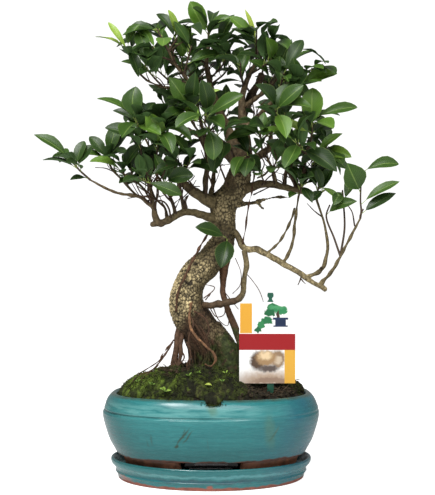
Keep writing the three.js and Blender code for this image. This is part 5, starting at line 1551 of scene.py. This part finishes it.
# Fine roots, as (x, y, z, radius); the radii are thickened by a third when they are made.
HAIR_ROOTS = [
    [(38, -8, 226, 0.4), (45, -14, 218, 0.35), (53, -20, 206, 0.3), (58, -24, 192, 0.25)],
    [(27, -6, 242, 0.35), (33, -10, 226, 0.3), (32, -12, 212, 0.3), (24, -14, 203, 0.3)],
    [(-8, -22, 198, 0.5), (3, -20, 207, 0.4), (4, -20, 210, 0.4), (-6, -20, 213, 0.3)],
    [(-6, -22, 196, 0.5), (0, -22, 204, 0.4), (-2, -22, 200, 0.3)],
    [(-2, -22, 189, 0.5), (6, -24, 178, 0.4), (14, -25, 180, 0.4), (16, -24, 191, 0.35)],
    [(2, -22, 189, 0.4), (9, -22, 174, 0.4), (18, -22, 168, 0.35), (20, -20, 178, 0.3)],
    [(14, -16, 206, 0.4), (22, -18, 196, 0.35), (30, -20, 186, 0.3)],
    [(-42, -14, 150, 0.7), (-50, -20, 136, 0.6), (-60, -28, 124, 0.5), (-74, -34, 112, 0.5),
     (-86, -36, 103, 0.4)],
    [(-44, -14, 146, 0.6), (-56, -12, 130, 0.5), (-70, -8, 120, 0.45), (-84, -4, 112, 0.4)],
    [(-34, -18, 142, 0.8), (-29, -24, 134, 0.6), (-36, -28, 124, 0.6), (-47, -30, 112, 0.5)],
    [(-40, -20, 130, 0.8), (-34, -30, 118, 0.7), (-40, -38, 106, 0.6), (-52, -42, 101, 0.5)],
    [(-26, -22, 150, 0.9), (-22, -28, 138, 0.8), (-26, -30, 124, 0.7), (-22, -34, 112, 0.6)],
    [(-18, -26, 184, 0.8), (-6, -28, 176, 0.8), (-2, -29, 163, 0.7), (-8, -29, 150, 0.6),
     (-4, -30, 138, 0.5)],
    [(-24, -24, 182, 0.9), (-19, -28, 170, 0.8), (-24, -28, 155, 0.8), (-22, -29, 138, 0.7),
     (-24, -30, 120, 0.6)],
    [(-46, -30, 116, 0.6), (-56, -38, 108, 0.5), (-68, -40, 104, 0.45), (-80, -34, 102, 0.4)],
    [(-50, -10, 118, 0.6), (-64, 2, 114, 0.5), (-80, 10, 108, 0.4), (-92, 14, 101, 0.3)],
]


def make_strands():
    """The strands that cling to the root mass, by angle, top height and seed, and the
    hair-fine roots."""
    strands = [(-132, 172, 2), (-124, 181, 3), (-116, 168, 4), (-107, 176, 5), (-98, 162, 6), (-90, 170, 16),
               (-81, 166, 7), (-72, 158, 8), (-62, 152, 9), (-50, 146, 10), (-38, 140, 11), (-112, 150, 17),
               (-86, 148, 18), (120, 150, 13), (60, 150, 14), (20, 148, 15), (160, 150, 12)]
    skins = [tube(clinging_route(*strand), 12, 1.5) for strand in strands]
    mesh = make_mesh("clinging_roots", joined(skins))
    textured(mesh, 3.0, 0.25, 0.3, 8, even_paleness(0.1), 0.4)
    settle(mesh, root_bark)
    fine_runs = [np.array(run) * (1, 1, 1, 1.35) for run in HAIR_ROOTS]
    fine = make_mesh("hair_roots", joined([tube(run, 7, 1.2) for run in fine_runs]))
    textured(fine, 2.5, 0.05, 0.08, 6, even_paleness(0.05), 0.0)
    settle(fine, root_bark)


# --- leaves

BLADE_ROWS = np.array([0.07, 0.2, 0.36, 0.53, 0.70, 0.85, 0.95])
BLADE_COLUMNS = np.array([-1, -0.5, 0, 0.5, 1])
UPPER_POINTS, LOWER_POINTS = 35, 21
BLADE_POINTS = UPPER_POINTS + LOWER_POINTS + 2
STALK_SHARE = 0.14


def blade_faces():
    """Faces of one blade: 7 rows of 5 points above, 7 rows of 3 below, then base and tip.
    The faces share the outline; the second half of them are the underside's."""
    upper = np.arange(UPPER_POINTS).reshape(7, 5)
    lower = upper.copy()
    lower[:, 1:4] = UPPER_POINTS + np.arange(LOWER_POINTS).reshape(7, 3)
    top = np.stack([upper[:-1, :-1], upper[:-1, 1:], upper[1:, 1:], upper[1:, :-1]], axis=-1)
    back = np.stack([lower[:-1, :-1], lower[1:, :-1], lower[1:, 1:], lower[:-1, 1:]], axis=-1)
    base, tip = BLADE_POINTS - 2, BLADE_POINTS - 1
    ends = [(base, upper[0, i + 1], upper[0, i]) for i in range(4)]
    ends += [(tip, upper[-1, i], upper[-1, i + 1]) for i in range(4)]
    ends += [(base, lower[0, i], lower[0, i + 1]) for i in range(4)]
    ends += [(tip, lower[-1, i + 1], lower[-1, i]) for i in range(4)]
    return np.vstack([top.reshape(-1, 4), back.reshape(-1, 4)]), np.array(ends)


def blade_map():
    """Where each point of a blade is, across it and along it, both from 0 to 1."""
    across = 0.5 + 0.5 * BLADE_COLUMNS
    upper = [(u, v) for v in BLADE_ROWS for u in across]
    lower = [(u, v) for v in BLADE_ROWS for u in across[1:4]]
    return np.array(upper + lower + [(0.5, 0), (0.5, 1)])


BLADE_QUADS, BLADE_TRIANGLES = blade_faces()
BLADE_MAP = blade_map()


def blades(base, tip, width, tilt, seed):
    """Leaf blades on their stalks. A blade's half width follows t^a (1 - t)^b from base to
    tip; it arches along its length, folds up along its midrib and waves at its edge."""
    rng = np.random.default_rng(seed)
    count = len(base)
    reach = tip - base
    length = np.linalg.norm(reach, axis=1)
    along = unit(reach)
    facing = points_at(0, -np.sin(tilt), np.cos(tilt))
    normal = unit(facing - along * (facing * along).sum(axis=1, keepdims=True))
    side = np.cross(along, normal)
    long = length[:, None, None]
    fold = rng.uniform(0.2, 0.65, count)[:, None, None]
    arch = (rng.uniform(0.05, 0.17, count) * length)[:, None, None]
    wave = rng.uniform(0.0, 0.05, count)[:, None, None] * long
    phase = rng.uniform(0, TAU, count)[:, None, None]
    swing = rng.normal(0, 0.05, count)[:, None, None] * long
    belly = rng.uniform(0.85, 1.2, count)[:, None, None]
    point = rng.uniform(0.70, 1.06, count)[:, None, None]
    widest = belly / (belly + point)
    most = widest ** belly * (1 - widest) ** point

    def place(t, s):
        """Points at shares t of the blade's length and s of its half width."""
        half = 0.5 * width[:, None, None] * t ** belly * (1 - t) ** point / most
        run = STALK_SHARE + (1 - STALK_SHARE) * t
        lift = arch * 4 * run * (1 - run) + fold * abs(s) ** 1.2 * half
        lift = lift + wave * abs(s) * np.sin(9 * t + phase + 2 * s) * (1 - t) * t * 2
        across = s * half + swing * 4 * run * (1 - run)
        return (base[:, None, None] + along[:, None, None] * (run * long)[..., None]
                + side[:, None, None] * across[..., None] + normal[:, None, None] * lift[..., None])

    ones, middle = np.ones((count, 1, 1)), np.zeros((1, 1, 1))
    upper = place(BLADE_ROWS[None, :, None] * ones, BLADE_COLUMNS[None, None, :])
    thin = LEAF_THICKNESS * np.array([0.75, 1, 0.75])[None, None, :, None]
    lower = upper[:, :, 1:4] - normal[:, None, None] * thin
    ends = np.concatenate([place(0 * ones, middle), place(ones, middle)], axis=1)
    points = np.concatenate([part.reshape(count, -1, 3) for part in (upper, lower, ends)], axis=1)
    return repeated(points, BLADE_QUADS, BLADE_TRIANGLES), ends[:, 0, 0], normal


def stalks(base, start, normal):
    """A four-sided stalk from the twig to each blade, bowed a little."""
    count = len(base)
    part = np.array([0, 0.5, 1.06])[None, :, None, None]
    line = start - base
    along = unit(line)
    side = unit(np.cross(along, normal))
    lift = np.cross(side, along)
    turn = circle(4)[None, None, :, None]
    radius = np.array([0.62, 0.45, 0.42])[None, :, None, None]
    centre = base[:, None, None] + line[:, None, None] * part - lift[:, None, None] * 0.35
    ring = np.cos(turn) * side[:, None, None] - np.sin(turn) * lift[:, None, None]
    rings = (centre + radius * ring).reshape(count, 12, 3)
    ends = [(base - along)[:, None], (base + line * 1.1)[:, None]]
    _, quads, triangles = closed_skin(np.zeros((3, 4, 3)), (0, 0, 0), (0, 0, 0))
    return repeated(np.concatenate([rings, *ends], axis=1), quads, triangles)


def add_blade_map(mesh, skin, maps, count):
    """Gives each corner its place on the blade. The undersides of the first count blades
    are moved along by 1, which is how their colours are told apart."""
    corners = maps[np.concatenate([skin[1].ravel(), skin[2].ravel()])]
    first = 0
    for faces, blade in ((skin[1], BLADE_QUADS), (skin[2], BLADE_TRIANGLES)):
        under = np.tile(np.repeat([0, 1], blade.size // 2), count)
        corners[first:first + len(under), 0] += under
        first += faces.size
    layer = mesh.uv_layers.new(name="blade")
    layer.data.foreach_set("uv", corners.astype(np.float32).ravel())


def scatter(seed):
    """A number from 0 to 1 for each seed: the fraction of a large sine."""
    value = math.sin(seed * 12.9898) * 43758.5453
    return value - math.floor(value)


def shoot_point(path, share):
    """The point, and the direction, at a share of a shoot's length."""
    place = share * (len(path) - 1)
    before = min(int(place), len(path) - 2)
    step = path[before + 1] - path[before]
    return path[before] + step * (place - before), unit(step)


# The crown's outline from its left to its right end, as (x, height).
CROWN_TOP = [(-200, 380), (-130, 420), (-124, 464), (-95, 490), (-60, 502), (-20, 514), (10, 514), (35, 508),
             (60, 500), (80, 488), (95, 474), (110, 458), (130, 442), (155, 425), (170, 360), (210, 345)]


def crown_top(x):
    """Height of the crown's outline."""
    return np.interp(x, *zip(*CROWN_TOP))


standing_leaves = []


def leaf_middle(base, tip):
    return base + (tip - base) * 0.6


def is_crowded(base, tip, room):
    """Whether a leaf's middle would come closer than room to the middle of one in place."""
    if not standing_leaves:
        return False
    gaps = np.array(standing_leaves) - leaf_middle(base, tip)
    return np.linalg.norm(gaps, axis=1).min() < room


# The crown's open places, seen from in front at the plane y = 0, as (left, right, bottom, top).
OPENINGS = [(-70, 1, 289, 338), (-103, -70, 282, 322), (-135, -110, 323, 346), (28, 99, 268, 328),
            (97, 150, 229, 326), (-120, -98, 370, 424), (-74, -55, 407, 426), (86, 101, 399, 416),
            (116, 147, 399, 436), (135, 159, 358, 383), (94, 127, 457, 485), (84, 104, 318, 334),
            (-118, -98, 452, 470), (-98, -84, 434, 462), (-162, -144, 362, 380), (-139, -121, 366, 378),
            (128, 150, 318, 334), (130, 147, 383, 399), (-185, -166, 334, 346)]


def is_open(place):
    """Whether a spot, seen from in front, lies in one of the crown's open places."""
    nearer = VIEWING_DISTANCE / (VIEWING_DISTANCE + place[1])
    eye_x, eye_height = 7, 230
    x, z = eye_x + (place[0] - eye_x) * nearer, eye_height + (place[2] - eye_height) * nearer
    return any(left < x < right and bottom < z < top for left, right, bottom, top in OPENINGS)


def spiral_leaf(paths, index, count, seed):
    """A leaf around a shoot: each swings on by the golden angle, and turns further while
    it's crowded; none if it can only stand above the crown or hang in an open place."""
    path = paths[index % len(paths)]
    base, axis = shoot_point(path, 0.98 - 0.62 * (index + 0.4) / count)
    level = unit(np.cross((0, 0, 1), axis))
    other = np.cross(axis, level)
    for attempt in range(9):
        turn = GOLDEN_ANGLE * (index + 1) + 0.7 * attempt + 6.28 * scatter(seed)
        length = LEAF_LENGTH * (0.66 + 0.30 * scatter(seed + index + 0.3))
        forward = 0.35 + 0.6 * scatter(seed + 2 * index)
        reach = level * math.cos(turn) + other * math.sin(turn) + axis * forward
        reach[2] -= 0.08
        tip = base + unit(reach) * length
        astray = tip[2] > crown_top(tip[0]) or is_open(leaf_middle(base, tip)) or is_open(tip)
        if not astray and not is_crowded(base, tip, 7.6 - 0.5 * attempt):
            break
    if astray:
        return None
    width = length * (0.36 + 0.10 * scatter(seed + 3 * index))
    tone = 1.15 * scatter(seed + 7 * index) ** 1.5
    return base, tip, width, 1.2 * scatter(seed + 5 * index) - 0.2, tone


def chosen_leaf(paths, row, order):
    """A leaf with a set tip, on the spot of the shoots that gives it about the usual length,
    or where a seventh number, the shoot's own number plus a share of its length, puts it."""
    x, y, z, width, tilt, tone = row[:6]
    tip = np.array([x, y, z], float)
    shares = [share + 0.013 * (order % 5) for share in (0.55, 0.68, 0.8, 0.92)]
    spots = [shoot_point(path, share)[0] for path in paths for share in shares]
    base = min(spots, key=lambda spot: abs(np.linalg.norm(spot - tip) - LEAF_LENGTH))
    if len(row) > 6:
        base = shoot_point(paths[int(row[6])], row[6] % 1)[0]
    return base, tip, width, math.radians(tilt), tone


def leaf_columns(leaves):
    """The bases, tips, widths, tilts and tones of a list of leaves."""
    return [np.array(column, float) for column in zip(*leaves)]


def make_spray(name, extra, shoots, chosen, seed):
    """A spray: its chosen leaves and the extra ones around its shoots, their stalks, and
    the shoots, which thin towards their tips."""
    routes = [[(*place, TWIG_RADIUS * (1 - 0.35 * i / (len(shoot) - 1))) for i, place in enumerate(shoot)]
              for shoot in shoots]
    lines = [smooth_path(route, 1.5)[:, :3] for route in routes]
    leaves = [chosen_leaf(lines, row, order) for order, row in enumerate(chosen)]
    standing_leaves.extend(leaf_middle(*leaf[:2]) for leaf in leaves)
    for index in range(extra):
        added = spiral_leaf(lines, index, extra, seed)
        if added:
            leaves.append(added)
            standing_leaves.append(leaf_middle(*added[:2]))
    base, tip, width, tilt, tone = leaf_columns(leaves)
    skin, start, normal = blades(base, tip, width, tilt, seed)
    stems = stalks(base, start, normal)
    twigs = joined([tube(route, 8, 1.5) for route in routes])
    whole = joined([skin, stems, twigs])
    mesh = make_mesh(name, whole)
    rng = np.random.default_rng(seed + 100)
    tones = np.clip(tone + rng.normal(0, 0.14, len(tone)), 0, 4)
    bare = np.zeros(len(stems[0]) + len(twigs[0]))
    add_values(mesh, tone=np.concatenate([np.repeat(tones, BLADE_POINTS), bare]))
    maps = np.vstack([np.tile(BLADE_MAP, (len(leaves), 1)), np.tile([[0.5, -0.5]], (len(stems[0]), 1)),
                      np.tile([[0.5, -2.0]], (len(twigs[0]), 1))])
    add_blade_map(mesh, whole, maps, len(leaves))
    mesh.set_sharp_from_angle(angle=math.radians(75))
    return mesh


def make_sprouts():
    """Tiny seedlings in the moss: each a few leaves that spread from one spot; and a fallen
    yellow leaf."""
    rng = np.random.default_rng(31)
    seedlings = [(-47, -73, 6, 6.5, 2.7), (-24, -58, 3, 4.0, 2.3), (-13, -52, 4, 3.4, 2.4),
                 (-62, -58, 4, 3.6, 2.2), (12, -66, 3, 3.4, 2.1), (-78, -42, 4, 3.8, 2.4),
                 (16, -46, 3, 3.6, 2.8)]
    leaves = []
    for x, y, count, length, tone in seedlings:
        foot = np.array([x, y, mound(x, y) + 5.5])
        for turn in TAU * np.arange(count) / count + rng.uniform(0, 1):
            tip = foot + np.array([math.cos(turn), math.sin(turn), rng.uniform(0.3, 1.1)]) * length
            leaves.append((foot, tip, 0.45 * length, 0.6, tone))
    ground = mound(-4, -72) + 6
    leaves.append(((-7.5, -72, ground), (1.5, -75, ground + 0.5), 3.0, 0.7, 3.3))
    base, tip, width, tilt, tone = leaf_columns(leaves)
    skin, _, _ = blades(base, tip, width, tilt, 41)
    mesh = make_mesh("moss_sprouts", skin)
    add_values(mesh, tone=np.repeat(tone, BLADE_POINTS))
    add_blade_map(mesh, skin, np.tile(BLADE_MAP, (len(leaves), 1)), len(leaves))
    settle(mesh, leaf)


def make_foliage():
    """Every spray, in order, because each leaf gives way to those in place before it."""
    for seed, (name, (extra, shoots, chosen)) in enumerate(FOLIAGE.items(), start=1):
        mesh = make_spray("spray_" + name, extra + (LEAVES_ADDED if extra > 1 else 0), shoots, chosen, seed)
        settle(mesh, leaf, "leaves_" + name)


# --- the label and drain meshes


def finish_label_and_meshes():
    """The label and the drain meshes keep the shapes they have and take their finishes."""
    finishes = {"label_card": printed_card, "label_stake": stake_green,
                "drain_mesh_left": mesh_plastic, "drain_mesh_right": mesh_plastic}
    for name, material in finishes.items():
        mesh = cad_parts[name].data
        mesh.materials.clear()
        mesh.materials.append(material)


# --- floor, light, camera


def make_floor():
    material, paint, shader = new_material("pale floor", 0.1, Roughness=0.9, Emission_Strength=FLOOR_GLOW)
    noise = mottled(paint, paint.place(), 9.0, 0.6, (0.79, 0.79, 0.79), (0.81, 0.81, 0.81))
    connect(paint, shader, Base_Color=noise["Color"])
    seen = paint.node("ShaderNodeLightPath").outputs["Is Camera Ray"]
    connect(paint, shader, Emission_Color=paint.mix(seen, (0.0, 0.0, 0.0), (1.0, 1.0, 1.0)))
    mesh = bpy.data.meshes.new("floor")
    corners = [(14.0 * x, 14.0 * y, -0.0002) for x, y in ((-1, -1), (1, -1), (1, 1), (-1, 1))]
    mesh.from_pydata(corners, [], [(0, 1, 2, 3)])
    mesh.materials.append(material)
    floor = add_object("floor", mesh)


def add_light(name, place, aim, width, height, power):
    """A soft oval light."""
    lamp = bpy.data.lights.new(name, "AREA")
    lamp.shape = "ELLIPSE"
    lamp.size = width
    lamp.size_y = height
    lamp.energy = power
    holder = add_object(name, lamp)
    holder.location = place
    holder.rotation_euler = (Vector(aim) - Vector(place)).to_track_quat("-Z", "Y").to_euler()


def light_the_scene():
    world = bpy.data.worlds.new("white room")
    bpy.context.scene.world = world
    world.use_nodes = True
    paint = Paint(world.node_tree)
    background = paint.tree.nodes["Background"]
    background.inputs["Color"].default_value = (1, 1, 1, 1)
    background.inputs["Strength"].default_value = AMBIENT
    backdrop = paint.node("ShaderNodeBackground", {"Color": (1, 1, 1), "Strength": 1.1})
    seen = paint.node("ShaderNodeLightPath").outputs["Is Camera Ray"]
    choose = paint.node("ShaderNodeMixShader", {0: seen, 1: background.outputs[0], 2: backdrop.outputs[0]})
    paint.tree.links.new(choose.outputs[0], paint.tree.nodes["World Output"].inputs[0])
    add_light("key", (-0.60, -0.80, 1.5), (0, 0, 0.25), 0.6, 0.6, 19)
    add_light("front", (0.0, -1.2, 1.25), (0, 0, 0.2), 1.7, 0.7, 17)
    add_light("fill", (1.3, -1.0, 0.9), (0, 0, 0.25), 1.8, 1.8, 5)
    bpy.context.scene.view_settings.view_transform = "Standard"
    bpy.context.scene.view_settings.look = "None"


def make_camera():
    lens = bpy.data.cameras.new("camera")
    lens.sensor_width = 36
    lens.lens = 71.8
    lens.shift_y = 0.0434
    lens.clip_start = 0.01
    camera = add_object("camera", lens)
    camera.location = (0.0072, -VIEWING_DISTANCE * MM, 0.230)
    camera.rotation_euler = (math.radians(90), 0, 0)
    bpy.context.scene.camera = camera


make_camera()
make_saucer()
make_pot()
make_feet()
make_soil()
make_moss()
make_tufts()
make_crumbs()
make_litter()
make_wood()
make_roots()
make_strands()
make_twigs()
make_foliage()
make_sprouts()
finish_label_and_meshes()
make_floor()
light_the_scene()
